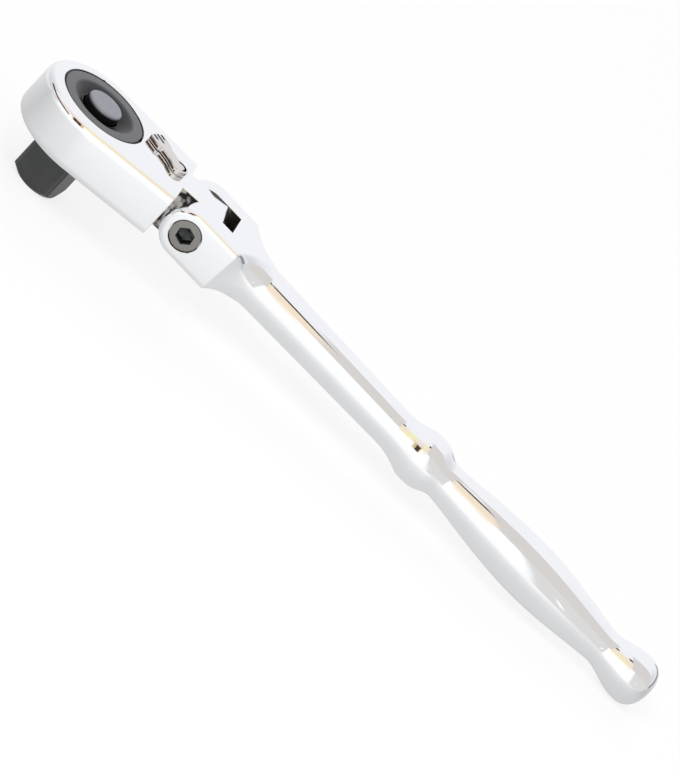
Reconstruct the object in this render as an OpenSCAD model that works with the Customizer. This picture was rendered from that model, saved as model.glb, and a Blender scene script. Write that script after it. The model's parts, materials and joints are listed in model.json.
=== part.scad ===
// Flex head ratchet with a half-inch square drive.
// The origin is the middle of the drive's end face. +Z runs up the drive's axis and +X runs toward
// the handle. At rest the tool stands on the end of its drive and on its ball end.

/* [Square drive] */
// Side of the drive square
drive_w = 12.7; // [9.5:0.1:15.3]
// Length of the square below the head
drive_len = 14.5; // [12:0.5:20]
// Amount turned off each corner of the square
corner_cut = 0.48; // [0.2:0.02:0.8]
// Height of the turned chamfer at its end
tip_chamfer = 1.85; // [0.8:0.05:2.5]
// Turn of the square about its axis, in degrees
drive_turn = -14; // [-45:1:45]

/* [Head] */
// Diameter of the hole that the cover closes
cover_hole_d = 25.8; // [24:0.2:32]
// Wall between that hole and the round outside of the head
head_rim = 4.3; // [3.6:0.1:7]
// Thickness of the head
head_t = 13.7; // [11.4:0.1:18]
// Taper of each side toward the handle, in degrees
head_taper = 7.5; // [4:0.5:10]
// Width of the oval round along the top edge
top_round = 2.3; // [1:0.1:4]
// Height of that round
top_round_h = 2.8; // [2:0.1:6]
// Width of the oval round along the bottom edge
bottom_round = 1.2; // [0.3:0.1:2]
// Height of that round
bottom_round_h = 2; // [0.5:0.1:4]
// Thickness of the floor under the gear
floor_t = 2.4; // [1.8:0.1:3.2]

/* [Cover and button] */
// Thickness of the cover at its rim
cover_t = 2.4; // [2:0.1:3]
// Width of the flat rim of the cover
cover_rim = 2.85; // [2:0.05:3.6]
// Depth of the dish in the cover
dish_depth = 1.7; // [0.6:0.1:1.7]
// Diameter of the push button
button_d = 10.4; // [9.6:0.1:12.5]
// Height of the button above the head
button_proud = 0.9; // [0.5:0.1:3]
// Travel of the button
button_stroke = 2.5; // [1.5:0.1:3]
// Radius of the rod under the button
rod_r = 2.65; // [2.3:0.05:2.8]
// How far the detent ball stands out of the square
ball_proud = 0.8; // [0.4:0.1:1]

/* [Ratchet] */
// Number of teeth on the gear
teeth = 72; // [60:12:72]
// Depth of a tooth
tooth_h = 0.45; // [0.3:0.05:0.5]
// Angle that the pawl rocks to each side, in degrees
pawl_swing = 4.5; // [4.3:0.1:5.5]
// Radius of the pawl's round back, about its pin
pawl_r = 10.2; // [9:0.1:10.6]
// Radius of the pawl's pin
pawl_pin_r = 1.5; // [1:0.1:1.8]

/* [Reversing lever] */
// Length of the lever from its shaft to its front edge
lever_len = 11.3; // [9:0.1:12]
// Width of its thumb pad
lever_w = 5.5; // [4.6:0.1:7]
// Length of its thumb pad
pad_len = 4.6; // [4:0.1:6]
// Width of the arm behind the pad
arm_w = 3.7; // [3:0.1:4.6]
// Height of the lever
lever_h = 1.45; // [1.2:0.05:3]
// Angle that it turns to each side of the middle, in degrees
lever_swing = 30; // [15:1:32]
// Radius of its shaft
shaft_r = 2.3; // [2.1:0.05:2.6]
// Number of thumb grooves
grooves = 3; // [2:1:4]

/* [Hinge] */
// Width over the two ears
ear_w = 24.4; // [20:0.2:29]
// Radius of the ears, which is half their height
ear_r = 7.2; // [6:0.1:8.7]
// Round along the edges of the ears
ear_round = 1.8; // [0.5:0.1:2.4]
// Width of the slot between the ears
slot_w = 10.2; // [8:0.2:12.3]
// Radius of the screw's smooth shank, on which the head turns
pivot_r = 3; // [2.5:0.1:3.6]
// Diameter of the screw's head
screw_head_d = 8.5; // [8:0.1:10]
// Width across the flats of the screw's hex socket
hex_w = 4; // [3:0.5:5]

/* [Handle] */
// Length of the flat sides of the ears behind the hinge
flat_len = 12.8; // [11:0.2:16]
// Length of the hollow flare down to the shank
flare_len = 12.2; // [9:0.2:16]
// Length of the tapered shank
shank_len = 48.5; // [30:0.5:120]
// Diameter of the shank at the flare
shank_d = 12.9; // [10:0.1:13.6]
// Diameter of the shank at the collar
shank_end_d = 11.5; // [9:0.1:13]
// Length of the rise from the shank to the collar
collar_rise = 8.7; // [5:0.1:12]
// Diameter of the collar
collar_d = 15.5; // [13:0.1:19]
// Length of the collar's crown
collar_crown = 4.6; // [3:0.1:8]
// Length of the fall from the collar to the neck
collar_fall = 6.3; // [4:0.1:10]
// Diameter of the neck before the grip
neck_d = 11; // [9:0.1:13]
// Length of the grip's front half
grip_rise = 31.4; // [20:0.2:60]
// Largest diameter of the grip
grip_d = 15.8; // [13:0.1:24]
// Length of the grip's rear half
grip_fall = 28.5; // [20:0.2:60]
// Diameter of the neck before the ball end
end_neck_d = 10.4; // [8:0.1:13]
// Length of the rise to the ball end
ball_rise = 11; // [8:0.2:15]
// Diameter of the ball end
ball_end_d = 14.5; // [12:0.1:18]
// Length of the round end behind its widest place
ball_tail = 6; // [4:0.1:9]

/* [Hidden] */

$fn = 96;
// Overlap of a cut past the face that it opens
eps = 0.1;
// Clearance round a shaft that turns or slides
run_gap = 0.05;
// Clearance round a pin that is pressed in
press_gap = 0.02;
// Clearance between flat faces that slide
side_gap = 0.1;

chrome = "#dfe3e8";
dark_steel = "#4a4b4c";
grey_steel = "#7a7b7d";
spring_steel = "#9aa0a6";

// Heights
head_bottom = drive_len;
head_top = drive_len + head_t;
hinge_z = (head_bottom + head_top) / 2;
cover_top = head_top - side_gap;
cover_seat = cover_top - cover_t;
floor_top = head_bottom + floor_t;

// Gear chamber, from the cover inward
cover_hole_r = cover_hole_d / 2;
head_r = cover_hole_r + head_rim;
cover_ledge = 1;
chamber_r = cover_hole_r - cover_ledge;
gear_room = 0.5;
gear_r = chamber_r - gear_room;
washer_t = 0.4;
washer_out_r = gear_r - tooth_h - 0.8;
washer_in_r = button_d / 2 + 1;
gear_bottom = floor_top + side_gap;
gear_top = cover_seat - washer_t - 2 * run_gap;

// Snap ring in its groove over the cover's flange
ring_t = 0.8;
flange_t = 1.15;
ring_bottom = cover_seat + flange_t + run_gap;
ring_seat = 0.5;
ring_bite = 0.4;
ring_out_r = cover_hole_r + ring_bite;
ring_gap_angle = 12;

// Places along X, each from the one before it
gear_to_pin = 5.5;
pawl_x = gear_r + gear_to_pin;
pin_to_lever = 7.6;
lever_x = pawl_x + pin_to_lever;
lever_to_shoulder = 4;
shoulder_x = lever_x + lever_to_shoulder;
hinge_gap = 1.1;
hinge_x = shoulder_x + hinge_gap + ear_r;

// Pawl and its pocket
pocket_step = 0.4;
pocket_bottom = floor_top + pocket_step;
pocket_roof = 1;
pocket_top = cover_seat - pocket_roof;
pocket_room = pawl_r * sin(pawl_swing) + side_gap;
clip_t = 0.6;
clip_top = pocket_top - side_gap;
pawl_bottom = pocket_bottom + side_gap;
pawl_top = clip_top - clip_t - 2 * side_gap;
pawl_mid = (pawl_bottom + pawl_top) / 2;
back_gap = 1.3;
pawl_back = lever_x - shaft_r - back_gap;
pawl_waist = 3.7;
mesh_gap = 0.08;
pin_bite = 1.8;
pin_top = pocket_top + pin_bite;

// Plunger in the lever's shaft, measured from the shaft's axis
plunger_r = 1;
plunger_reach = 4.3;
plunger_tail = 0.9;
bore_wall = 0.75;
plunger_bore = bore_wall - shaft_r;
nose_x = plunger_reach - plunger_r;
clip_out = 0.8;
clip_bite = 0.4;
clip_r = shaft_r + clip_out;
clip_seat_r = shaft_r - clip_bite;
clip_room = 0.3;
clip_slit = 1.6;
shaft_floor = 1.4;
shaft_bottom = head_bottom + shaft_floor;

// Release rod, ball and button
ball_r = (drive_w / 2 + ball_proud - rod_r - side_gap) / 2;
ball_x = rod_r + side_gap + ball_r;
ball_place = 0.44;
ball_z = drive_len * ball_place;
ball_lip = 0.35;
lip_r = sqrt(pow(ball_r, 2) - pow(drive_w / 2 - ball_lip - ball_x, 2)) + run_gap;
ball_in = ball_proud + side_gap;
ramp = ball_in / button_stroke;
rod_bottom = 4.2;
rod_spare = 0.3;
rod_edge = 0.3;
button_r = button_d / 2;
button_top = head_top + button_proud;
button_crown = 1.5;
button_well = 5.6;
button_floor = gear_top - button_well;
button_spare = 1.5;
button_bottom = button_floor + button_stroke + button_spare;
button_gap = 0.35;
boss_wall = 0.55;
boss_r = rod_r + boss_wall;
boss_len = 2.4;
boss_bottom = button_top - button_crown - boss_len;
stud_r = 1.6;
stud_cover = 1;
button_round = 0.5;
button_wall = 0.7;

// Ramp and neck of the rod
ramp_lead = 0.25;
ramp_bottom = ball_z - ramp_lead;
neck_r = rod_r - ball_in;
neck_bottom = ramp_bottom + (rod_r - neck_r) / ramp;
neck_len = 2.2;
neck_top = neck_bottom + neck_len;
neck_fall = 0.6;

// Square drive
corner_r = drive_w / 2 * sqrt(2) - corner_cut;
journal_r = corner_r + side_gap;
tip_step = 0.15;
tip_r = drive_w / 2 - tip_step;

// Dish of the cover
cover_rim_r = cover_hole_r - ring_seat - run_gap;
dish_step = 0.8;
dish_in_r = button_r + dish_step;

// Thumb lever
lever_lift = 0.15;
lever_bottom = head_top + lever_lift;
lever_top = lever_bottom + lever_h;
lever_end = 0.3;
lever_end_r = shaft_r + lever_end;
pad_round = 0.8;
groove_r = 0.32;
groove_step = 1.5;
groove_len = 3.7;
groove_short = 1.2;
mark_out_r = 1.9;
mark_in_r = 1.5;
mark_depth = 0.4;

// Springs
button_wire = 0.35;
button_coil_r = (boss_r + button_r - button_wall) / 2;
button_turns = 5;
plunger_wire = 0.15;
plunger_turns = 3;
plunger_coil_inset = 0.35;

// Hinge
tongue_step = 0.6;
tongue_r = ear_r - tongue_step;
tongue_root = 1;
tongue_w = slot_w - 2 * side_gap;
slot_room = 1;
slot_floor = ear_r + slot_room;
screw_recess = 0.15;
screw_head_t = 2;
cone_washer_t = 0.5;
cone_washer_h = 0.25;
counterbore = screw_recess + screw_head_t + cone_washer_t + cone_washer_h;
thread_depth = 0.5;
thread_r = pivot_r - thread_depth;
thread_cover = 2;
thread_start = slot_w / 2 + thread_cover;
screw_face = screw_recess - ear_w / 2;
screw_seat = screw_face + screw_head_t;
screw_short = 0.6;
screw_end = ear_w / 2 - screw_short;
hex_turn = 16;
hex_depth = 2.6;
head_edge = 0.3;

// Stations along the handle, measured from the hinge
flare_end = flat_len + flare_len;
shank_end = flare_end + shank_len;
collar_start = shank_end + collar_rise;
collar_end = collar_start + collar_crown;
neck_x = collar_end + collar_fall;
grip_x = neck_x + grip_rise;
end_neck_x = grip_x + grip_fall;
ball_end_x = end_neck_x + ball_rise;
tail_x = ball_end_x + ball_tail;
stretch_steps = 18;
grip_swell = 1.25;
ball_swell = 1.6;
end_power = 2.5;

// Curves. Each goes from 0 to 1 as t does.
// A soft step, level at both ends
function soft_step(t) = (1 - cos(180 * t)) / 2;
// A swell that leaves its low end gently and is level at its high end
function swell(t, p) = pow(sin(90 * t), p);
// A superellipse arc from 1 down to 0
function round_end(t) = pow(1 - pow(t, end_power), 1 / end_power);

// Points of one stretch of the handle: [radius, station]
function stretch(x0, x1, r) = [for (i = [1:stretch_steps]) [r[i], x0 + (x1 - x0) * i / stretch_steps]];
function rise(r0, r1, p) = [for (i = [0:stretch_steps]) r0 + (r1 - r0) * swell(i / stretch_steps, p)];
function fall(r0, r1, p) = [for (i = [0:stretch_steps]) r1 + (r0 - r1) * swell(1 - i / stretch_steps, p)];
function ramp_up(r0, r1) = [for (i = [0:stretch_steps]) r0 + (r1 - r0) * pow(i / stretch_steps, 2)];
function bow(r, h) = [for (i = [0:stretch_steps]) r + h * sin(180 * i / stretch_steps)];
function soften(r0, r1) = [for (i = [0:stretch_steps]) r0 + (r1 - r0) * soft_step(i / stretch_steps)];

// The hollow flare is an arc that leaves the shank level and reaches past the ears' corners.
flare_top = norm([ear_w / 2, ear_r]);
flare_h = flare_top - shank_d / 2;
flare_arc = (pow(flare_len, 2) + pow(flare_h, 2)) / (2 * flare_h);
function flare_r(x) = shank_d / 2 + flare_arc - sqrt(pow(flare_arc, 2) - pow(flare_end - x, 2));

// The collar is a shallow crown on a crease that is a little smaller than it.
collar_bow = 0.15;
crease_r = collar_d / 2 - collar_bow;

tail_points = [for (i = [1:stretch_steps])
    let (t = 1 - pow(1 - i / stretch_steps, 2))
    [max(ball_end_d / 2 * round_end(t), 0), ball_end_x + ball_tail * t]];

handle_points = concat(
    [[0, -2 * ear_r], [flare_top, -2 * ear_r]],
    [for (i = [0:stretch_steps]) let (x = flat_len + flare_len * i / stretch_steps) [flare_r(x), x]],
    [[shank_end_d / 2, shank_end]],
    stretch(shank_end, collar_start, ramp_up(shank_end_d / 2, crease_r)),
    stretch(collar_start, collar_end, bow(crease_r, collar_bow)),
    stretch(collar_end, neck_x, soften(crease_r, neck_d / 2)),
    stretch(neck_x, grip_x, rise(neck_d / 2, grip_d / 2, grip_swell)),
    stretch(grip_x, end_neck_x, fall(grip_d / 2, end_neck_d / 2, grip_swell)),
    stretch(end_neck_x, ball_end_x, rise(end_neck_d / 2, ball_end_d / 2, ball_swell)),
    tail_points);

// Turn of the handle about the hinge at which its ball end touches the ground that the drive stands on
droop = min([for (p = tail_points) asin(hinge_z / norm(p)) - atan2(p[0], p[1])]);

// Hollow in the pawl's back: the path of the plunger's nose, seen from the rocking pawl, is an arc
// through its middle and its two ends.
function turned(v, a) = [v[0] * cos(a) - v[1] * sin(a), v[0] * sin(a) + v[1] * cos(a)];
function nose_path(a) =
    turned([lever_x - pawl_x - nose_x * cos(a), -nose_x * sin(a)], a * pawl_swing / lever_swing);
path_mid = nose_path(0);
path_end = nose_path(lever_swing);
path_depth = path_end[0] - path_mid[0];
path_r = (pow(path_end[1], 2) + pow(path_depth, 2)) / (2 * path_depth);
hollow_r = path_r + plunger_r + mesh_gap;
hollow_x = pawl_x + path_mid[0] + path_r;

// Gear outline with flat crests and roots, grown by a clearance
tooth_flat = 0.09;
function gear_points(grow) = let (pitch = 360 / teeth) [for (i = [0:teeth - 1], c = [0:3])
    let (r = gear_r + grow - (c < 2 ? 0 : tooth_h),
        a = (c < 2 ? 0 : 0.5) + (c % 2 == 0 ? -tooth_flat : tooth_flat))
    [r * cos((i + a) * pitch), r * sin((i + a) * pitch)]];

// Places of the moving groups
module on_handle() {
    translate([hinge_x, 0, hinge_z]) rotate([0, droop, 0]) children();
}

module on_lever() {
    translate([lever_x, 0, 0]) rotate([0, 0, -lever_swing]) children();
}

module on_plunger() {
    on_lever() translate([0, 0, pawl_mid]) rotate([0, -90, 0]) children();
}

module about_pawl_pin(a) {
    translate([pawl_x, 0]) rotate(a) translate([-pawl_x, 0]) children();
}

// Tube between two heights
module tube(r_out, r_in, z0, z1) {
    translate([0, 0, z0]) difference() {
        cylinder(r = r_out, h = z1 - z0);
        translate([0, 0, -eps]) cylinder(r = r_in, h = z1 - z0 + 2 * eps);
    }
}

module post(r, z0, z1) {
    translate([0, 0, z0]) cylinder(r = r, h = z1 - z0);
}

// Cylinder along Y between two places
module cross_post(r, y0, y1) {
    translate([0, y0, 0]) rotate([-90, 0, 0]) cylinder(r = r, h = y1 - y0);
}

module rounded_rect(w, h, r) {
    square([w - 2 * r, h], center = true);
    square([w, h - 2 * r], center = true);
    for (x = [-1, 1], y = [-1, 1]) translate([x * (w / 2 - r), y * (h / 2 - r)]) circle(r);
}

// Coil of round wire along +Z from z0, one unbroken tube
coil_rings = 8;
coil_sides = 6;
function coil_point(mean_r, wire, turns, rise, i, j) =
    let (a = 360 * i / coil_rings, b = 360 * j / coil_sides, r = mean_r + wire * cos(b))
    [r * cos(a), r * sin(a), wire + rise * i / (turns * coil_rings) + wire * sin(b)];

module coil(mean_r, wire, turns, len) {
    rise = len - 2 * wire;
    last = turns * coil_rings;
    points = [for (i = [0:last], j = [0:coil_sides - 1]) coil_point(mean_r, wire, turns, rise, i, j)];
    sides = [for (i = [0:last - 1], j = [0:coil_sides - 1], half = [0, 1])
        let (k = (j + 1) % coil_sides, a = i * coil_sides, b = (i + 1) * coil_sides)
        half == 0 ? [a + j, a + k, b + k] : [a + j, b + k, b + j]];
    caps = [for (j = [1:coil_sides - 2], end = [0, 1])
        let (a = end * last * coil_sides)
        end == 0 ? [a, a + j + 1, a + j] : [a, a + j, a + j + 1]];
    // Least distance between rings one turn apart, less the wire
    axis = [for (i = [0:last]) coil_point(mean_r, 0, turns, rise, i, 0)];
    turn_gaps = [for (i = [0:last - coil_rings]) norm(axis[i + coil_rings] - axis[i])];
    echo(coil_self_gap = min(turn_gaps) - 2 * wire);
    polyhedron(points, concat(sides, caps));
}

// Half of the head's cross-section, from the middle to its side. Quarters of ellipses round its edges.
round_steps = 9;
function quarter(x, z, w, h, turn) = [for (i = [0:round_steps])
    let (a = turn + 90 * i / round_steps) [x + w * cos(a), z + h * sin(a)]];

module head_section() {
    polygon(concat(
        [[0, head_bottom]],
        quarter(head_r - bottom_round, head_bottom + bottom_round_h, bottom_round, bottom_round_h, -90),
        quarter(head_r - top_round, head_top - top_round_h, top_round, top_round_h, 0),
        [[0, head_top]]));
}

// Round front and tapered sides. The front ends at the planes in which the sides start.
module head_outside() {
    rotate([0, 0, 90 - head_taper]) rotate_extrude(angle = 180 + 2 * head_taper) head_section();
    intersection() {
        for (side = [0, 1]) mirror([0, side, 0])
            rotate([0, 0, -head_taper]) rotate([90, 0, 90])
                linear_extrude(shoulder_x + head_r) head_section();
        translate([0, -head_r - eps, 0]) cube([shoulder_x, 2 * head_r + 2 * eps, head_top + eps]);
    }
}

module tongue() {
    translate([shoulder_x - tongue_root, -tongue_w / 2, hinge_z - tongue_r])
        cube([hinge_x - shoulder_x + tongue_root, tongue_w, 2 * tongue_r]);
    translate([hinge_x, 0, hinge_z]) cross_post(tongue_r, -tongue_w / 2, tongue_w / 2);
}

module pawl_pocket() {
    translate([0, 0, pocket_bottom]) linear_extrude(pocket_top - pocket_bottom) {
        intersection() {
            translate([pawl_x, 0]) circle(pawl_r + side_gap);
            translate([gear_r / 2, -2 * pawl_r]) square([pawl_back + pocket_room - gear_r / 2, 4 * pawl_r]);
        }
        translate([lever_x, 0]) {
            circle(clip_r + clip_room);
            intersection() {
                circle(plunger_reach + side_gap);
                translate([-2 * plunger_reach, -2 * plunger_reach]) square([2 * plunger_reach, 4 * plunger_reach]);
            }
        }
    }
}

module head_body() {
    color(chrome) difference() {
        union() {
            head_outside();
            tongue();
        }
        post(cover_hole_r, cover_seat, head_top + eps);
        post(ring_out_r + run_gap, ring_bottom - run_gap, ring_bottom + ring_t + run_gap);
        post(chamber_r, floor_top, cover_seat + eps);
        post(journal_r + run_gap, head_bottom - eps, floor_top + eps);
        pawl_pocket();
        translate([pawl_x, 0, 0]) post(pawl_pin_r + press_gap, head_bottom - eps, pin_top + side_gap);
        translate([lever_x, 0, 0]) post(shaft_r + run_gap, shaft_bottom - side_gap, head_top + eps);
        translate([hinge_x, 0, hinge_z]) cross_post(pivot_r + run_gap, -tongue_w, tongue_w);
    }
}

// Dished cover: a flat rim, a cone down to the hole for the button, and a flange for the snap ring
module cover_plate() {
    color(grey_steel) rotate_extrude() polygon([
        [button_r + button_gap, cover_seat],
        [cover_hole_r - run_gap, cover_seat],
        [cover_hole_r - run_gap, cover_seat + flange_t],
        [cover_rim_r, cover_seat + flange_t],
        [cover_rim_r, cover_top],
        [cover_rim_r - cover_rim, cover_top],
        [dish_in_r, cover_top - dish_depth],
        [button_r + button_gap, cover_top - dish_depth]]);
}

module cover_snap_ring() {
    color(dark_steel) difference() {
        tube(ring_out_r, cover_hole_r - ring_seat, ring_bottom, ring_bottom + ring_t);
        rotate([0, 0, -ring_gap_angle / 2]) translate([0, 0, ring_bottom - eps])
            rotate_extrude(angle = ring_gap_angle) square([cover_hole_r * 2, ring_t + 2 * eps]);
    }
}

module thrust_washer() {
    color(spring_steel) translate([0, 0, gear_top + run_gap]) tube(washer_out_r, washer_in_r, 0, washer_t);
}

module pawl_pin() {
    color(spring_steel) translate([pawl_x, 0, 0]) post(pawl_pin_r, head_bottom + side_gap, pin_top);
}

// Square drive and gear in one piece
module turned_blank() {
    rotate_extrude() polygon([[0, 0], [tip_r, 0], [corner_r, tip_chamfer], [corner_r, head_bottom + eps],
        [0, head_bottom + eps]]);
}

module ball_hole() {
    rotate([0, 0, drive_turn]) translate([0, 0, ball_z]) {
        cross_post(ball_r + run_gap, 0, drive_w / 2 - ball_lip);
        cross_post(lip_r, 0, drive_w / 2 + eps);
    }
}

module drive_gear() {
    color(dark_steel) difference() {
        union() {
            intersection() {
                turned_blank();
                rotate([0, 0, drive_turn]) translate([-drive_w / 2, -drive_w / 2, 0])
                    cube([drive_w, drive_w, head_bottom + eps]);
            }
            post(journal_r, head_bottom, gear_bottom);
            translate([0, 0, gear_bottom]) linear_extrude(gear_top - gear_bottom) polygon(gear_points(0));
        }
        post(rod_r + run_gap, rod_bottom - button_stroke - rod_spare, gear_top + eps);
        post(button_r + 2 * side_gap, button_floor, gear_top + eps);
        ball_hole();
    }
}

module button_spring() {
    room = button_top - button_crown - button_floor - 2 * press_gap;
    color(spring_steel) translate([0, 0, button_floor + press_gap])
        coil(button_coil_r, button_wire, button_turns, room);
}

// Rod with a ramp and a neck: pressing the button brings the neck to the ball
module release_pin() {
    stud_top = button_top - stud_cover - side_gap;
    color(spring_steel) rotate_extrude() polygon([
        [0, rod_bottom],
        [rod_r - rod_edge, rod_bottom],
        [rod_r, rod_bottom + rod_edge],
        [rod_r, ramp_bottom],
        [neck_r, neck_bottom],
        [neck_r, neck_top],
        [rod_r, neck_top + neck_fall],
        [rod_r, boss_bottom - run_gap],
        [stud_r - press_gap, boss_bottom - run_gap],
        [stud_r - press_gap, stud_top],
        [0, stud_top]]);
}

module button_section() {
    translate([0, button_top - button_crown]) square([button_r - button_round, button_crown]);
    translate([0, button_bottom]) square([button_r, button_top - button_round - button_bottom]);
    translate([button_r - button_round, button_top - button_round]) circle(button_round);
}

module button_cap() {
    color(grey_steel) difference() {
        rotate_extrude() intersection() {
            button_section();
            translate([0, button_bottom]) square([button_r, button_top]);
        }
        tube(button_r - button_wall, boss_r - 2 * side_gap, button_bottom - eps, button_top - button_crown);
        post(boss_r, button_bottom - eps, boss_bottom);
        post(stud_r, boss_bottom - eps, button_top - stud_cover);
    }
}

module detent_ball() {
    color(spring_steel) rotate([0, 0, drive_turn]) translate([0, ball_x, ball_z]) sphere(ball_r);
}

// Thumb lever on its shaft
module lever_outline() {
    flat_w = lever_w - 2 * pad_round;
    intersection() {
        circle(lever_len);
        union() {
            translate([-lever_len - eps, -flat_w / 2]) square([pad_len + eps, flat_w]);
            translate([-lever_len - eps, -lever_w / 2]) square([pad_len + eps - pad_round, lever_w]);
            for (side = [-1, 1])
                translate([pad_len - lever_len - pad_round, side * flat_w / 2]) circle(pad_round);
            translate([pad_len / 2 - lever_len, -arm_w / 2]) square([lever_len - pad_len / 2, arm_w]);
            circle(lever_end_r);
        }
    }
}

module lever_blank() {
    translate([0, 0, lever_bottom]) linear_extrude(lever_h) lever_outline();
    post(shaft_r, shaft_bottom, lever_bottom + eps);
}

module reversing_lever() {
    color(chrome) on_lever() difference() {
        lever_blank();
        for (i = [0:grooves - 1])
            translate([-lever_len - eps, (i - (grooves - 1) / 2) * groove_step, lever_top])
                rotate([0, 90, 0]) cylinder(r = groove_r,
                    h = groove_len + eps - groove_short * abs(i - (grooves - 1) / 2));
        tube(mark_out_r, mark_in_r, lever_top - mark_depth, lever_top + eps);
        tube(clip_r, clip_seat_r, clip_top - clip_t - run_gap, clip_top + run_gap);
        translate([0, 0, pawl_mid]) rotate([0, -90, 0])
            post(plunger_r + run_gap, plunger_bore, shaft_r + eps);
    }
}

module lever_ring() {
    color(spring_steel) on_lever() difference() {
        tube(clip_r, clip_seat_r + press_gap, clip_top - clip_t, clip_top);
        translate([0, -clip_slit / 2, clip_top - clip_t - eps])
            cube([2 * clip_r, clip_slit, clip_t + 2 * eps]);
    }
}

module plunger_spring() {
    room = plunger_tail - plunger_bore - 2 * press_gap;
    color(spring_steel) on_plunger() translate([0, 0, plunger_bore + press_gap])
        coil(plunger_r - plunger_coil_inset, plunger_wire, plunger_turns, room);
}

module lever_plunger() {
    color(spring_steel) on_plunger() {
        translate([0, 0, plunger_tail]) cylinder(r = plunger_r, h = nose_x - plunger_tail);
        translate([0, 0, nose_x]) sphere(plunger_r);
    }
}

// Rocking pawl, drawn in its middle place and then turned to its rest on one side
module pawl_outline() {
    difference() {
        intersection() {
            translate([pawl_x, 0]) circle(pawl_r);
            translate([0, -pawl_r]) square([pawl_back, 2 * pawl_r]);
        }
        for (side = [-1, 1]) about_pawl_pin(side * pawl_swing) polygon(gear_points(mesh_gap));
        intersection() {
            circle(gear_r + tooth_h + mesh_gap);
            translate([0, -pawl_waist]) square([2 * gear_r, 2 * pawl_waist]);
        }
        translate([hollow_x, 0]) circle(hollow_r);
        translate([pawl_x, 0]) circle(pawl_pin_r + run_gap);
    }
}

module pawl() {
    color(dark_steel) translate([0, 0, pawl_bottom]) linear_extrude(pawl_top - pawl_bottom)
        about_pawl_pin(pawl_swing) pawl_outline();
}

// Handle: a turned profile inside the outline of the ears
module ear_block() {
    rotate([90, 0, 90]) linear_extrude(flare_end + eps) rounded_rect(ear_w, 2 * ear_r, ear_round);
    rotate([90, 0, 0]) rotate_extrude() intersection() {
        rounded_rect(2 * ear_r, ear_w, ear_round);
        translate([0, -ear_w]) square([ear_r, 2 * ear_w]);
    }
}

// Arc that hollows a side from the end of the ears' flats down to the shank
side_step = 0.5;
side_land = shank_d / 2 + side_step;
function side_arc(half) = (pow(flare_len, 2) + pow(half - side_land, 2)) / (2 * (half - side_land));

module side_hollows() {
    for (side = [-1, 1]) translate([flare_end, side * (side_land + side_arc(ear_w / 2)), -2 * ear_r])
        cylinder(r = side_arc(ear_w / 2), h = 4 * ear_r);
}

module handle_outside() {
    intersection() {
        rotate([0, 90, 0]) rotate_extrude() polygon(handle_points);
        union() {
            difference() {
                ear_block();
                side_hollows();
            }
            translate([flare_end, -ear_w, -ear_w]) cube([tail_x, 2 * ear_w, 2 * ear_w]);
        }
    }
}

module handle() {
    color(chrome) on_handle() difference() {
        handle_outside();
        translate([-2 * ear_r, -slot_w / 2, -2 * ear_r]) cube([2 * ear_r + slot_floor, slot_w, 4 * ear_r]);
        cross_post(pivot_r + run_gap, -ear_w, thread_start + run_gap);
        cross_post(thread_r + run_gap, 0, ear_w);
        cross_post(screw_head_d / 2 + 2 * side_gap, -ear_w, counterbore - ear_w / 2);
    }
}

// Hex socket screw whose smooth shank is the hinge pin
module pivot_screw() {
    color(dark_steel) on_handle() difference() {
        rotate([-90, 0, 0]) rotate_extrude() polygon([
            [0, screw_face],
            [screw_head_d / 2 - head_edge, screw_face],
            [screw_head_d / 2, screw_face + head_edge],
            [screw_head_d / 2, screw_seat],
            [pivot_r, screw_seat],
            [pivot_r, thread_start],
            [thread_r, thread_start],
            [thread_r, screw_end],
            [0, screw_end]]);
        translate([0, screw_face - eps, 0]) rotate([-90, 0, 0]) rotate([0, 0, hex_turn])
            cylinder(r = hex_w / sqrt(3), h = hex_depth + eps, $fn = 6);
    }
}

// Cone spring washer between the screw's head and its seat
module tension_washer() {
    in_r = pivot_r + side_gap;
    out_r = screw_head_d / 2 - side_gap;
    color(spring_steel) on_handle() translate([0, screw_seat, 0]) rotate([-90, 0, 0])
        rotate_extrude() polygon([
            [in_r, 0],
            [out_r, cone_washer_h],
            [out_r, cone_washer_h + cone_washer_t],
            [in_r, cone_washer_t]]);
}

handle();
pivot_screw();
tension_washer();
head_body();
cover_plate();
cover_snap_ring();
thrust_washer();
pawl_pin();
drive_gear();
button_spring();
release_pin();
button_cap();
detent_ball();
reversing_lever();
lever_ring();
plunger_spring();
lever_plunger();
pawl();
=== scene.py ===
"""Flex head ratchet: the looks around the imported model. All lengths are in metres, in the model's frame."""
import json
import math

import bmesh
import bpy
import numpy as np
from bpy.props import FloatProperty, FloatVectorProperty, IntProperty, PointerProperty
from mathutils import Matrix


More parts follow.
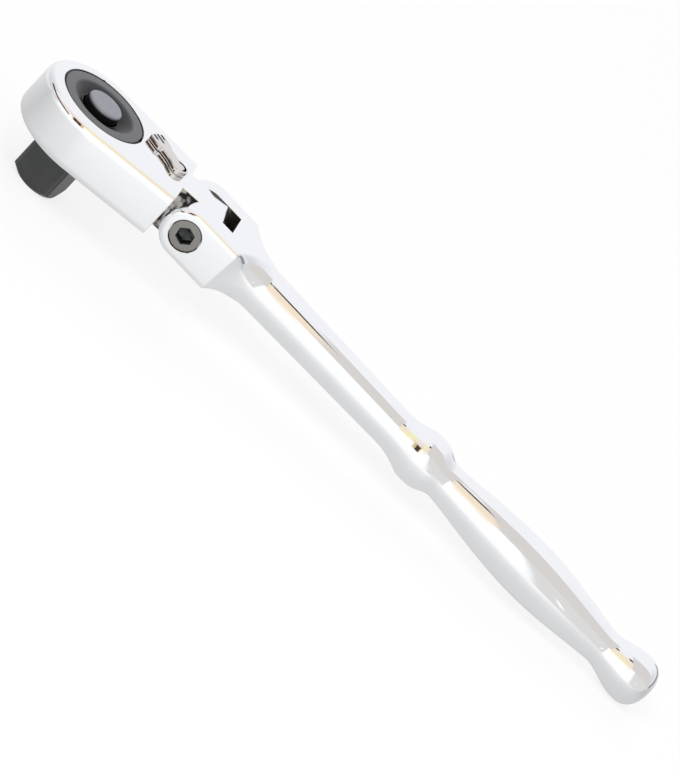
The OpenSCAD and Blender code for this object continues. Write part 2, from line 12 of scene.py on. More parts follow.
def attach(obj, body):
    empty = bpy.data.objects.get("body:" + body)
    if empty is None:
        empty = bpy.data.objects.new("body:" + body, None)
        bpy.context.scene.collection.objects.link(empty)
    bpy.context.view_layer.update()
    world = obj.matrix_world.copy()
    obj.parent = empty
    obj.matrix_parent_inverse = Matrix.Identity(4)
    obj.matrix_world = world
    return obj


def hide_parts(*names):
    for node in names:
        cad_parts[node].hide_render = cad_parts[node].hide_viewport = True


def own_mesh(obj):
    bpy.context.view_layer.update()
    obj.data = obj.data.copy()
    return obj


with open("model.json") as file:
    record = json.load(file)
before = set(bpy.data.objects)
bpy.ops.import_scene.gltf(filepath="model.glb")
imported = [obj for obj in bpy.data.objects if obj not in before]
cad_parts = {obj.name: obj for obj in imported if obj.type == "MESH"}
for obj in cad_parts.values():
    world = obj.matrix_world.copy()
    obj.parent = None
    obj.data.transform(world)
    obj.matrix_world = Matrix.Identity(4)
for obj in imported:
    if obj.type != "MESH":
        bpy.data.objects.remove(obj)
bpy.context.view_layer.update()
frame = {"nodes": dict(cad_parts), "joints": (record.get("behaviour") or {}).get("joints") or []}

bl_info = {
    "name": "Flex Head Ratchet",
    "version": (1, 0, 0),
    "blender": (4, 5, 0),
    "location": "3D View > Sidebar > Ratchet",
    "description": "Builds the surfaces, finishes and studio of a flex head ratchet",
    "category": "Object",
}

MM = 0.001
JOINTS = {joint["name"]: joint for joint in frame["joints"]}
HINGE = np.array(JOINTS["flex"]["pos_m"])
LEVER_PIVOT = np.array(JOINTS["lever_throw"]["pos_m"])
LEVER_AXIS = LEVER_PIVOT * (1, 1, 0)
# Sizes that more than one piece takes up
PIVOT_BORE = 3.05 * MM
BALL_HEIGHT = 6.38 * MM
WELL_FLOOR = 19.6 * MM
BUTTON_ROOF = 1.5 * MM
PLUNGER_HEIGHT = 20.6 * MM
PLUNGER_SEAT = 1.55 * MM


def linear(code):
    """Linear colour of an sRGB hex code."""
    srgb = np.array([int(code[i:i + 2], 16) for i in (1, 3, 5)]) / 255
    return (*np.where(srgb <= 0.04045, srgb / 12.92, ((srgb + 0.055) / 1.055) ** 2.4), 1.0)


def length(name, millimetres, description):
    """A size that a user may change, given here in millimetres."""
    return FloatProperty(name=name, description=description, default=millimetres * MM, unit="LENGTH",
                         precision=5)


def angle(name, degrees, description):
    """An angle that a user may change, given here in degrees."""
    return FloatProperty(name=name, description=description, default=math.radians(degrees), unit="ROTATION")


def colour(name, code, description):
    """A colour that a user may change, given here as sRGB hex."""
    return FloatVectorProperty(name=name, description=description, default=linear(code), subtype="COLOR",
                               size=4, min=0, max=1)


class HandleSizes(bpy.types.PropertyGroup):
    """Sizes of the handle, from the hinge back"""
    droop: angle("Droop", 4.92418, "Turn of the handle about the hinge at rest")
    ear_half: length("Half width", 12.2, "Half the width over the two ears")
    ear_radius: length("Ear radius", 7.2, "Half the height of the ears")
    ear_round: length("Ear round", 1.8, "Round along the edges of the ears")
    slot_half: length("Half slot", 5.1, "Half the width of the slot between the ears")
    slot_floor: length("Slot floor", 8.2, "Place of the slot's floor behind the hinge")
    flat: length("Flat", 12.8, "End of the ears' flat sides")
    flare_end: length("Flare end", 25, "End of the hollow flare")
    shank: length("Shank radius", 6.45, "Radius of the shank at the flare")
    shank_end: length("Shank end", 73.5, "End of the tapered shank")
    shank_small: length("Shank end radius", 5.75, "Radius of the shank at the collar")
    collar_start: length("Collar start", 82.2, "Start of the collar's crown")
    collar_end: length("Collar end", 86.8, "End of the collar's crown")
    collar: length("Crease radius", 7.6, "Radius of the creases beside the collar's crown")
    collar_bow: length("Crown", 0.15, "Height of the collar's crown over its creases")
    neck_x: length("Neck", 93.1, "Place of the neck before the grip")
    neck: length("Neck radius", 5.5, "Radius of the neck before the grip")
    grip_x: length("Grip", 124.5, "Widest place of the grip")
    grip: length("Grip radius", 7.9, "Largest radius of the grip")
    end_neck_x: length("End neck", 153, "Place of the neck before the ball end")
    end_neck: length("End neck radius", 5.2, "Radius of the neck before the ball end")
    ball_x: length("Ball end", 164, "Widest place of the ball end")
    ball: length("Ball end radius", 7.25, "Radius of the ball end")
    tail: length("Tail", 170, "End of the handle")


class HeadSizes(bpy.types.PropertyGroup):
    """Sizes of the head and what it holds"""
    radius: length("Head radius", 17.2, "Radius of the round front")
    bottom: length("Underside", 14.5, "Height of the head's underside")
    top: length("Top", 28.2, "Height of the head's top")
    taper: angle("Taper", 7.5, "Taper of each side toward the handle")
    top_round: length("Top round", 2.3, "Width of the oval round along the top edge")
    top_drop: length("Top drop", 2.8, "Height of that round")
    bottom_round: length("Bottom round", 1.2, "Width of the oval round along the bottom edge")
    bottom_rise: length("Bottom rise", 2, "Height of that round")
    shoulder: length("Shoulder", 28.5, "Place of the flat rear face")
    tongue: length("Half tongue height", 6.8, "Half the height of the tongue")
    tongue_end: length("Tongue end", 7.9, "Radius of the tongue's end about the hinge")
    tongue_half: length("Half tongue width", 5, "Half the width of the tongue")
    hole: length("Cover hole radius", 12.9, "Radius of the hole that the cover closes")
    cover_seat: length("Cover seat", 25.7, "Height of the ledge under the cover")
    button: length("Button radius", 5.2, "Radius of the push button")
    button_top: length("Button top", 29.1, "Height of the push button")
    drive_half: length("Half drive", 6.35, "Half the side of the drive square")
    drive_turn: angle("Drive turn", -14, "Turn of the square at rest")
    teeth: IntProperty(name="Teeth", description="Number of teeth on the gear", default=72, min=24, max=120)
    lever_top: length("Lever top", 29.8, "Height of the lever's top")
    lever_turn: angle("Lever turn", -30, "Turn of the lever at rest")


class Finishes(bpy.types.PropertyGroup):
    """Colours of the finishes"""
    chrome: colour("Chrome", "#f6f7f9", "Polished chrome plate on handle and head")
    lever: colour("Lever", "#dcd8d5", "Satin chrome plate on the reversing lever")
    # Bare steel, partly painted shade: its dark colour also stands for the shade inside the handle's slot and
    # on the tongue's sides.
    machined: colour("Machined", "#6f6b68", "Bare machined steel between the ears of the hinge")
    # Painted shade: a near-black colour for the lever's grooves and the mark round its shaft, standing for
    # the shade in them.
    groove_shade: colour("Groove shade", "#2a2522", "Dark oil in the grooves of the lever")
    cover: colour("Cover", "#68696b", "Grey oxide on the rim of the turned cover")
    # Painted shade: this darker colour stands for the shade in the cover's dish and in the screw's hex
    # socket.
    dish: colour("Dish", "#3a3b3d", "Darker oxide in the dish of the cover")
    button: colour("Button", "#94979d", "Satin grey on the top of the push button")
    # Painted shade: near black for the button's side below its satin top; the snap ring takes the same
    # colour.
    shadow: colour("Button side", "#222224", "Black oxide on the button's side and the snap ring")
    drive: colour("Drive", "#48494a", "Dark phosphate on the square drive and gear")
    screw: colour("Screw", "#8b8a87", "Black oxide on the hinge screw")
    spring: colour("Spring", "#b4b8bc", "Bright spring steel on the inner pieces")
    floor: colour("Floor", "#ffffff", "Pale floor")


# Surfaces
def quads(rows, cols, closed=False):
    """Corner numbers of the four-sided faces of a grid of points. The last column joins the first, and closed
    joins the last row to the first."""
    i, j = np.indices((rows if closed else rows - 1, cols)).reshape(2, -1)
    below, beside = (i + 1) % rows, (j + 1) % cols
    return np.stack((i * cols + j, i * cols + beside, below * cols + beside, below * cols + j), 1)


def piece_from(name, points, faces, sharp=35):
    """An object of these points and faces, with its faces turned outward and its normals smooth up to
    an angle in degrees."""
    mesh = bpy.data.meshes.new(name)
    mesh.from_pydata(np.asarray(points).tolist(), [], faces)
    shell = bmesh.new()
    shell.from_mesh(mesh)
    bmesh.ops.recalc_face_normals(shell, faces=shell.faces)
    shell.to_mesh(mesh)
    shell.free()
    piece = bpy.data.objects.new(name, mesh)
    bpy.context.scene.collection.objects.link(piece)
    smooth(piece, sharp)
    return piece


def smooth(piece, sharp):
    """Smooth normals, broken at edges sharper than an angle in degrees."""
    piece.data.shade_smooth()
    piece.data.set_sharp_from_angle(angle=math.radians(sharp))


def strip(first, cols):
    """Faces over a flat ring that mirrors itself about its first point: a strip of four-sided faces between
    the two halves, with a triangle at each end."""
    half = cols // 2
    i = np.arange(1, half - 1)
    bars = np.stack((i, i + 1, cols - i - 1, cols - i), 1) + first
    ends = [[first, first + 1, first + cols - 1], [first + half - 1, first + half, first + half + 1]]
    return bars.tolist() + ends


def skin(name, grid, closed=False, sharp=35, mirrored=False):
    """A closed skin over a stack of rings: a grid of rows by points round each ring. A stack that isn't
    closed on itself gets a flat face on its first and last ring, or a strip of faces where its rings
    are mirrored."""
    rows, cols = grid.shape[:2]
    faces = quads(rows, cols, closed).tolist()
    if mirrored:
        faces += strip(0, cols) + strip((rows - 1) * cols, cols)
    elif not closed:
        faces.append(list(range(cols)))
        faces.append(list(range((rows - 1) * cols, rows * cols)))
    return piece_from(name, grid.reshape(-1, 3), faces, sharp)


def unit(vectors):
    """Vectors brought to a length of one."""
    return vectors / np.linalg.norm(vectors, axis=-1, keepdims=True)


def fillet(corners, radii, steps=6, closed=True):
    """Outline in which each corner is a circle's arc that meets both sides without a kink. The arc's
    middle lies on the corner's bisector, at radius over the sine of half its angle. An open outline
    keeps its two ends."""
    p = np.asarray(corners, float)
    inner = p if closed else p[1:-1]
    before = np.roll(p, 1, 0) if closed else p[:-2]
    after = np.roll(p, -1, 0) if closed else p[2:]
    u, v = unit(before - inner), unit(after - inner)
    half = np.arccos(np.clip((u * v).sum(1), -1, 1)) / 2
    r = np.broadcast_to(np.asarray(radii, float), half.shape)
    middle = inner + unit(u + v) * (r / np.sin(half))[:, None]
    a = inner + u * (r / np.tan(half))[:, None] - middle
    b = inner + v * (r / np.tan(half))[:, None] - middle
    sweep = (np.pi - 2 * half)[:, None]
    s = np.linspace(0, 1, steps + 1)[None, :]
    arcs = np.sin((1 - s) * sweep)[..., None] * a[:, None] + np.sin(s * sweep)[..., None] * b[:, None]
    arcs = middle[:, None] + arcs / np.sin(sweep)[..., None]
    line = arcs.reshape(-1, 2)
    return line if closed else np.concatenate((p[:1], line, p[-1:]))


def polar(radius, turn, height):
    """Points at a radius and a turn round the Z axis and at a height, each spread over the others' axes."""
    return np.stack(np.broadcast_arrays(radius * np.cos(turn), radius * np.sin(turn), height), -1)


def around(sides):
    """Even steps of a whole turn."""
    return np.linspace(0, 2 * np.pi, sides, endpoint=False)


def turned(profile, sides):
    """Rings of a turned shape: each profile point, radius and height, carried round the Z axis."""
    r, z = np.asarray(profile, float).T[..., None]
    return polar(r, around(sides), z)


def lifted(outlines, heights):
    """Rings of one flat outline at each height, or of an outline for each height."""
    x, y = np.moveaxis(np.asarray(outlines), -1, 0)
    return np.stack(np.broadcast_arrays(x, y, np.asarray(heights)[:, None]), -1)


def soft_min(a, b, width):
    """The smaller of two values, with the corner between them rounded over a width."""
    h = np.clip(0.5 + 0.5 * (b - a) / width, 0, 1)
    return b + (a - b) * h - width * h * (1 - h)


def lying(points):
    """Turns a shape made round Z so that its axis lies along Y."""
    return points[..., [0, 2, 1]]


def lengthwise(points, start, way=1):
    """Turns a shape made round Z so that its axis lies along X, one way or the other from a start."""
    return points[..., [2, 1, 0]] * (way, 1, 1) + start


def swung(points, turn, first, second):
    """Turns points in the plane of two axes, from the first toward the second."""
    c, s = math.cos(turn), math.sin(turn)
    moved = np.array(points)
    moved[..., first] = points[..., first] * c - points[..., second] * s
    moved[..., second] = points[..., first] * s + points[..., second] * c
    return moved


def on_handle(points, sizes):
    """Places points of the handle, measured from the hinge, by the hinge and the droop."""
    return swung(points, sizes.droop, 2, 0) + HINGE


def off_handle(points, sizes):
    """Takes points from the model's frame back to the handle's own, measured from the hinge."""
    return swung(points - HINGE, -sizes.droop, 2, 0)


def on_lever(points, sizes):
    """Places points measured from the lever's axis, with heights as they are."""
    return swung(points, sizes.lever_turn, 0, 1) + LEVER_AXIS


def off_lever(points, sizes):
    """Takes points from the model's frame back to the lever's own, with heights as they are."""
    return swung(points - LEVER_AXIS, -sizes.lever_turn, 0, 1)


def carve(piece, cutters, joined=(), sharp=35):
    """Joins shapes to a piece, cuts others out of it and then removes them all. Faces that the cuts leave
    without area are dissolved."""
    for operation, others in (("UNION", joined), ("DIFFERENCE", cutters)):
        for other in others:
            cut = piece.modifiers.new("cut", "BOOLEAN")
            cut.operation = operation
            cut.solver = "MANIFOLD"
            cut.object = other
    bpy.context.view_layer.update()
    shown = piece.evaluated_get(bpy.context.evaluated_depsgraph_get())
    mesh = bpy.data.meshes.new_from_object(shown)
    mesh.name = piece.name
    if len(mesh.polygons) == 0:
        raise RuntimeError(f"{piece.name}: nothing is left after the cuts")
    cleaned = bmesh.new()
    cleaned.from_mesh(mesh)
    bmesh.ops.dissolve_degenerate(cleaned, dist=0.0005 * MM, edges=cleaned.edges[:])
    cleaned.to_mesh(mesh)
    cleaned.free()
    piece.modifiers.clear()
    spent = [piece.data] + [other.data for other in (*joined, *cutters)]
    piece.data = mesh
    for other in (*joined, *cutters):
        bpy.data.objects.remove(other)
    for old in spent:
        bpy.data.meshes.remove(old)
    smooth(piece, sharp)


def face_fields(piece):
    """Middles and normals of a piece's faces."""
    faces = piece.data.polygons
    fields = np.empty((2, len(faces) * 3))
    faces.foreach_get("center", fields[0])
    faces.foreach_get("normal", fields[1])
    return fields.reshape(2, -1, 3)


# Materials
def add(tree, kind, inputs=None, out=None, **settings):
    """Adds a node with its settings. An input is a value, or a socket to link from. Gives the output, or the
    list of outputs, that out names, or else the first that the settings leave in use."""
    made = tree.nodes.new("ShaderNode" + kind)
    for key, value in settings.items():
        setattr(made, key, value)
    for key, value in (inputs or {}).items():
        if isinstance(value, bpy.types.NodeSocket):
            tree.links.new(value, made.inputs[key])
        else:
            made.inputs[key].default_value = value
    if out is None:
        return next((socket for socket in made.outputs if socket.enabled), None)
    if isinstance(out, str):
        return made.outputs[out]
    return [made.outputs[name] for name in out]


def new_material(name):
    """A new material, its node tree and the Object coordinates that its patterns read."""
    material = bpy.data.materials.new(name)
    material.use_nodes = True
    tree = material.node_tree
    tree.nodes.clear()
    return material, tree, add(tree, "TexCoord", out="Object")


def shaded(material, inputs):
    """Ends a material's tree in a principled shader."""
    tree = material.node_tree
    add(tree, "OutputMaterial", {"Surface": add(tree, "BsdfPrincipled", inputs)})


def tinted(base, factor):
    """A colour made lighter or darker by a factor."""
    return (*[min(channel * factor, 1) for channel in base[:3]], 1)


def chrome_plate(name, base, sharp, dull):
    """Steel plated with bright chrome after polishing: a mirror whose surface rolls very slightly over a
    few millimetres, with handling haze that dulls it in soft patches."""
    material, tree, place = new_material(name)
    haze = add(tree, "TexNoise", {"Vector": place, "Scale": 1 / (9 * MM), "Detail": 5})
    rough = add(tree, "MapRange", {"Value": haze, "From Min": 0.35, "From Max": 0.75, "To Min": sharp,
                                   "To Max": dull})
    tone = add(tree, "Mix", {"Factor": haze, "A": base, "B": tinted(base, 0.965)}, data_type="RGBA")
    roll = add(tree, "TexNoise", {"Vector": place, "Scale": 1 / (5 * MM), "Detail": 1})
    bump = add(tree, "Bump", {"Height": roll, "Strength": 1.0, "Distance": 0.004 * MM})
    shaded(material, {"Base Color": tone, "Metallic": 1.0, "Roughness": rough, "Normal": bump})


def lathe_turned(material, place, coat, spacing, mottle, metallic, satin, dull):
    """Ends the tree of turned steel under a coat: fine rings left by the lathe, at a spacing drawn a little
    coarser than the real one so that they show, under a grain that mottles the coat from satin to dull."""
    tree = material.node_tree
    grain = add(tree, "TexNoise", {"Vector": place, "Scale": 1 / (0.5 * MM), "Detail": 4})
    shade = add(tree, "MapRange", {"Value": grain, "To Min": 1 - mottle, "To Max": 1 + mottle})
    tone = add(tree, "VectorMath", {0: coat, "Scale": shade}, operation="SCALE")
    # A wave texture repeats every 2 pi / 20 of its scaled distance.
    rings = add(tree, "TexWave", {"Vector": place, "Scale": math.pi / 10 / spacing, "Distortion": 0.6,
                                  "Detail": 2}, "Fac", wave_type="RINGS", rings_direction="Z")
    bump = add(tree, "Bump", {"Height": rings, "Strength": 0.5, "Distance": 0.01 * MM})
    rough = add(tree, "MapRange", {"Value": grain, "To Min": satin, "To Max": dull})
    shaded(material, {"Base Color": tone, "Metallic": metallic, "Roughness": rough, "Normal": bump})


def black_oxide(name, base):
    """Turned steel under an even black oxide that use has rubbed to a dark grey."""
    material, _, place = new_material(name)
    lathe_turned(material, place, base[:3], 0.3 * MM, 0.18, 0.7, 0.28, 0.46)


def dished_oxide(name, rim, dish):
    """Turned steel under a grey oxide, lighter on the rim, with painted shade in the dish: darker there and
    near black round the button.
    """
    material, tree, place = new_material(name)
    flat = add(tree, "VectorMath", {0: place, 1: (1, 1, 0)}, operation="MULTIPLY")
    radius = add(tree, "VectorMath", {0: flat}, operation="LENGTH")
    # Painted shade: darker inside the rim, and near black round the button, where shade falls.
    out = add(tree, "MapRange", {"Value": radius, "From Min": 8.8 * MM, "From Max": 9.7 * MM})
    deep = add(tree, "MapRange", {"Value": radius, "From Min": 5.8 * MM, "From Max": 8.6 * MM})
    well = add(tree, "Mix", {"Factor": deep, "A": tinted(dish, 0.15), "B": dish}, data_type="RGBA")
    coat = add(tree, "Mix", {"Factor": out, "A": well, "B": rim}, data_type="RGBA")
    lathe_turned(material, place, coat, 0.3 * MM, 0.18, 0.55, 0.36, 0.5)


def shade_sided_oxide(name, top, side, height):
    """Turned steel under an oxide, satin grey on the top, with painted shade on the side, which turns to near
    black below the top by height.
    """
    material, tree, place = new_material(name)
    # Painted shade: the side below the top takes the near-black colour, by height.
    level = add(tree, "SeparateXYZ", {"Vector": place}, "Z")
    wear_and_shade = add(tree, "MapRange", {"Value": level, "From Min": height - 1.0 * MM,
                                  "From Max": height - 0.2 * MM})
    coat = add(tree, "Mix", {"Factor": wear_and_shade, "A": side, "B": top}, data_type="RGBA")
    lathe_turned(material, place, coat, 0.25 * MM, 0.15, 0.7, 0.3, 0.4)


def patchy_steel(name, base, scale, soft=0.5, clean=1.3, foul=0.55):
    """Bare steel darkened in patches of a noise, which run together over soft; with a dark colour it also
    serves as painted shade.
    """
    material, tree, place = new_material(name)
    film = add(tree, "TexNoise", {"Vector": place, "Scale": 1 / scale, "Detail": 4})
    patch = add(tree, "MapRange", {"Value": film, "From Min": 0.5 - soft, "From Max": 0.5 + soft})
    tone = add(tree, "Mix", {"Factor": patch, "A": tinted(base, foul), "B": tinted(base, clean)},
               data_type="RGBA")
    rough = add(tree, "MapRange", {"Value": film, "To Min": 0.1, "To Max": 0.34})
    shaded(material, {"Base Color": tone, "Metallic": 0.9, "Roughness": rough})


def dark_phosphate(name, base):
    """Steel under manganese phosphate: a dark, slightly oily coat of fine crystals, rubbed lighter along
    the edges where sockets slide on."""
    material, tree, place = new_material(name)
    crystals = add(tree, "TexNoise", {"Vector": place, "Scale": 1 / (0.3 * MM), "Detail": 5})
    patches = add(tree, "TexNoise", {"Vector": place, "Scale": 1 / (5 * MM), "Detail": 3})
    tone = add(tree, "Mix", {"Factor": patches, "A": tinted(base, 0.8), "B": tinted(base, 1.2)},
               data_type="RGBA")
    edge = add(tree, "Attribute", out="Fac", attribute_name="edge")
    wear_and_shade = add(tree, "Mix", {"Factor": edge, "A": tone, "B": tinted(base, 1.5)}, data_type="RGBA")
    rough = add(tree, "MapRange", {"Value": crystals, "To Min": 0.3, "To Max": 0.48})
    bump = add(tree, "Bump", {"Height": crystals, "Strength": 0.6, "Distance": 0.02 * MM})
    shaded(material, {"Base Color": wear_and_shade, "Metallic": 0.35, "Roughness": rough, "Normal": bump})


def drawn_steel(name, base):
    """Bright drawn spring steel: a satin metal with a faint, fine mottle."""
    material, tree, place = new_material(name)
    mottle = add(tree, "TexNoise", {"Vector": place, "Scale": 1 / (0.4 * MM), "Detail": 3})
    tone = add(tree, "Mix", {"Factor": mottle, "A": tinted(base, 0.85), "B": base}, data_type="RGBA")
    rough = add(tree, "MapRange", {"Value": mottle, "To Min": 0.2, "To Max": 0.38})
    shaded(material, {"Base Color": tone, "Metallic": 1.0, "Roughness": rough})


def finish(name):
    """The material of a finish, made once."""
    colours = bpy.context.scene.ratchet_finishes
    makers = {
        "polished_chrome_plate": (chrome_plate, colours.chrome, 0.035, 0.11),
        "satin_chrome_plate": (chrome_plate, colours.lever, 0.07, 0.16),
        # Bare steel inside the slot, darkened also as painted shade in that recess.
        "machined_steel": (patchy_steel, colours.machined, 2.5 * MM),
        # Painted shade and painted reflections on the tongue's sides: near-black and grey patches.
        "stained_steel": (patchy_steel, colours.machined, 2.2 * MM, 0.08, 3.2, 0.12),
        # Painted shade in the screw's hex socket.
        "sooty_steel": (patchy_steel, colours.dish, 0.8 * MM, 0.2, 1.6, 0.5),
        # Painted shade in the lever's grooves and mark.
        "grimy_steel": (patchy_steel, colours.groove_shade, 0.6 * MM),
        "blackened_spring_steel": (patchy_steel, colours.shadow, 1.5 * MM),
        # Painted shade in the cover's dish, round the button.
        "turned_grey_oxide": (dished_oxide, colours.cover, colours.dish),
        # Painted shade on the button's side below its satin top.
        "satin_grey_oxide": (shade_sided_oxide, colours.button, colours.shadow,
                             bpy.context.scene.ratchet_head.button_top),
        "black_oxide_steel": (black_oxide, colours.screw),
        "dark_phosphate_steel": (dark_phosphate, colours.drive),
        "drawn_spring_steel": (drawn_steel, colours.spring),
    }
    if name not in bpy.data.materials:
        maker, *values = makers[name]
        maker(name, *values)
    return bpy.data.materials[name]


def settle(piece, body, node, first, second=None, chosen=None):
    """Gives a piece its finish and its body, and hides the CAD node that it stands for. A second finish goes
    on the chosen faces."""
    piece.data.materials.clear()
    piece.data.materials.append(finish(first))
    if second:
        piece.data.materials.append(finish(second))
        piece.data.polygons.foreach_set("material_index", chosen.astype(np.int32))
    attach(piece, body)
    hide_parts(node)


# Shapes of the pieces
def flare_arc(x, s, climb, past=1.0):
    """Half the size of the hollow flare: a circle's arc that leaves the shank without a kink and has climbed
    over it at the flats, and that goes on to past times its run."""
    run = s.flare_end - s.flat
    arc = (run ** 2 + climb ** 2) / (2 * climb)
    inside = arc ** 2 - np.clip(s.flare_end - x, 0, run * past) ** 2
    return s.shank + arc - np.sqrt(np.clip(inside, 0, None))


def turned_radius(x, s):
    """Radius of the handle's turned profile at each station. From the flare back it is an arc, a cone, a
    square-law rise, a bow, a soft step, two swells each way round the grip, one to the ball, and a
    superellipse."""
    def part(a, b):
        """How far each station lies from one place to the next, from 0 to 1."""
        return np.clip((x - a) / (b - a), 0, 1)
    flare = flare_arc(x, s, math.hypot(s.ear_half, s.ear_radius) - s.shank)
    shank = s.shank + (s.shank_small - s.shank) * part(s.flare_end, s.shank_end)
    rise = s.shank_small + (s.collar - s.shank_small) * part(s.shank_end, s.collar_start) ** 2
    crown = s.collar + s.collar_bow * np.sin(np.pi * part(s.collar_start, s.collar_end))
    fall = s.collar + (s.neck - s.collar) * (1 - np.cos(np.pi * part(s.collar_end, s.neck_x))) / 2
    swell = s.neck + (s.grip - s.neck) * np.sin(np.pi / 2 * part(s.neck_x, s.grip_x)) ** 1.25
    back = s.end_neck + (s.grip - s.end_neck) * np.cos(np.pi / 2 * part(s.grip_x, s.end_neck_x)) ** 1.25
    ball = s.end_neck + (s.ball - s.end_neck) * np.sin(np.pi / 2 * part(s.end_neck_x, s.ball_x)) ** 1.6
    tail = s.ball * np.clip(1 - part(s.ball_x, s.tail) ** 2.5, 0, None) ** 0.4
    ends = [s.flare_end, s.shank_end, s.collar_start, s.collar_end, s.neck_x, s.grip_x, s.end_neck_x,
            s.ball_x]
    return np.select([x <= end for end in ends], [flare, shank, rise, crown, fall, swell, back, ball], tail)


def rounded_reach(direction, half_w, half_h, corner):
    """Distance from the middle to a rounded rectangle's edge in each direction: the flat sides, or the
    far root of the corner's circle between them."""
    c, s = np.abs(np.cos(direction)), np.abs(np.sin(direction))
    side = half_w / np.maximum(c, 1e-9)
    top = half_h / np.maximum(s, 1e-9)
    b = (half_w - corner) * c + (half_h - corner) * s
    q = (half_w - corner) ** 2 + (half_h - corner) ** 2 - corner ** 2
    arc = b + np.sqrt(np.maximum(b ** 2 - q, 0))
    reach = np.where(side * s <= half_h - corner, side, arc)
    return np.where(top * c <= half_w - corner, top, reach)


def ear_directions(s):
    """Directions round the handle's section, close together at the ears' rounded corners and the same in
    all four quarters."""
    w, h, r = s.ear_half, s.ear_radius, s.ear_round
    turn = np.linspace(0, np.pi / 2, 23)[1:]
    y = np.concatenate((np.full(9, w), w - r + r * np.cos(turn), np.linspace(w - r, 0, 20)[1:]))
    z = np.concatenate((np.linspace(0, h - r, 9), h - r + r * np.sin(turn), np.full(19, h)))
    quarter = np.arctan2(z, y)
    upper = np.concatenate((quarter, np.pi - quarter[-2::-1]))
    return np.concatenate((upper, 2 * np.pi - upper[-2:0:-1]))


def handle_blank(s):
    """The handle without its slot and bores. Behind the hinge each ring is a rounded rectangle. Past the
    flats its sides draw in along an arc, and its corners grow by a cubic until it is the turned profile's
    circle. In front of the hinge the upper half of the first ring turns about the hinge to the lower."""
    near = np.linspace(0, s.flare_end, 126)
    shank = np.linspace(s.flare_end, s.shank_end, 34)[1:]
    rear = np.linspace(s.shank_end, s.ball_x, 150)[1:]
    tail = s.ball_x + (s.tail - s.ball_x) * np.sin(np.linspace(0, np.pi / 2, 34)[1:-1])
    x = np.concatenate((near, shank, rear, tail))
    direction = ear_directions(s)
    radius = turned_radius(x, s)
    half_w = soft_min(np.full_like(x, s.ear_half), flare_arc(x, s, s.ear_half - s.shank, 1.15), 0.35 * MM)
    half_h = soft_min(np.full_like(x, s.ear_radius), radius, 0.5 * MM)
    grown = 1 - (1 - np.clip((x - s.flat) / (s.flare_end - s.flat), 0, 1)) ** 3
    corner = s.ear_round + (np.minimum(half_w, half_h) - s.ear_round) * grown
    reach = rounded_reach(direction[None, :], half_w[:, None], half_h[:, None], corner[:, None])
    reach = np.where(x[:, None] < s.flare_end, reach, radius[:, None])
    body = polar(reach, direction, x[:, None])[..., [2, 0, 1]]
    count, cols = body.shape[:2]
    half = cols // 2
    steps = 76
    turn = np.linspace(0, np.pi, steps + 1)[1:-1, None]
    upper = body[0, 1:half]
    drum = polar(upper[:, 2], turn, upper[:, 1])[..., [1, 2, 0]] * (-1, 1, 1)
    number = count * cols + np.arange(drum.shape[0] * drum.shape[1]).reshape(drum.shape[:2])
    rows = np.concatenate((np.arange(1, half)[None, :], number, (cols - np.arange(1, half))[None, :]))
    faces = quads(count, cols).tolist()
    faces.append(list(range((count - 1) * cols, count * cols)))
    faces += np.stack((rows[:-1, :-1], rows[1:, :-1], rows[1:, 1:], rows[:-1, 1:]), 2).reshape(-1, 4).tolist()
    for column, pole in ((0, 0), (-1, half)):
        faces += [[pole, a, b] for a, b in zip(rows[:-1, column].tolist(), rows[1:, column].tolist())]
    points = np.concatenate((body.reshape(-1, 3), drum.reshape(-1, 3)))
    return piece_from("chrome_handle", on_handle(points, s), faces)


class RATCHET_OT_handle(bpy.types.Operator):
    """Make the forged handle with its ears, slot and bores"""
    bl_idname = "ratchet.handle"
    bl_label = "Handle"

    def execute(self, context):
        s = context.scene.ratchet_handle
        piece = handle_blank(s)
        far, half = 2 * s.ear_radius, s.slot_half
        slot = lifted([(-far, -half), (s.slot_floor, -half), (s.slot_floor, half), (-far, half)], (-far, far))
        side = s.ear_half
        mouth = 0.12 * MM
        seat, seat_end = 4.45 * MM, -9.3 * MM
        thread, thread_end = 2.55 * MM, 7.15 * MM
        bore = [(seat + 9 * mouth, -side - 8 * mouth), (seat, -side + mouth), (seat, seat_end),
                (PIVOT_BORE, seat_end), (PIVOT_BORE, thread_end), (thread, thread_end),
                (thread, side - mouth), (thread + 9 * mouth, side + 8 * mouth)]
        carve(piece, [skin("slot", on_handle(slot, s)), skin("bore", on_handle(lying(turned(bore, 96)), s))])
        # The slot's faces get bare steel that is dark also as painted shade in the recess.
        x, y, _ = off_handle(face_fields(piece)[0], s).T
        close = 0.02 * MM
        inside = (np.abs(y) < s.slot_half + close) & (x < s.slot_floor + close)
        settle(piece, "handle", "handle", "polished_chrome_plate", "machined_steel", inside)
        return {"FINISHED"}


def head_outline(s, inset, rear_inset):
    """Outline of the head pulled in by an inset: an arc round the front, two tapered sides and the flat
    rear with small rounded corners."""
    lean = np.pi / 2 - s.taper
    r = s.radius - inset
    a = np.linspace(lean, 2 * np.pi - lean, 120)
    front = np.stack((r * np.cos(a), r * np.sin(a)), 1)
    rear = s.shoulder - rear_inset
    y = (r - rear * np.cos(lean)) / np.sin(lean)
    corner = 0.35 * MM
    right = fillet([front[-1], (rear, -y), (rear, y), front[0]], corner, 5, closed=False)
    steps = np.linspace(0, 1, 12)[1:-1, None]
    near = front[-1] + (right[1] - front[-1]) * steps
    far = right[-2] + (front[0] - right[-2]) * steps
    return np.concatenate((front, near, right[1:-1], far))


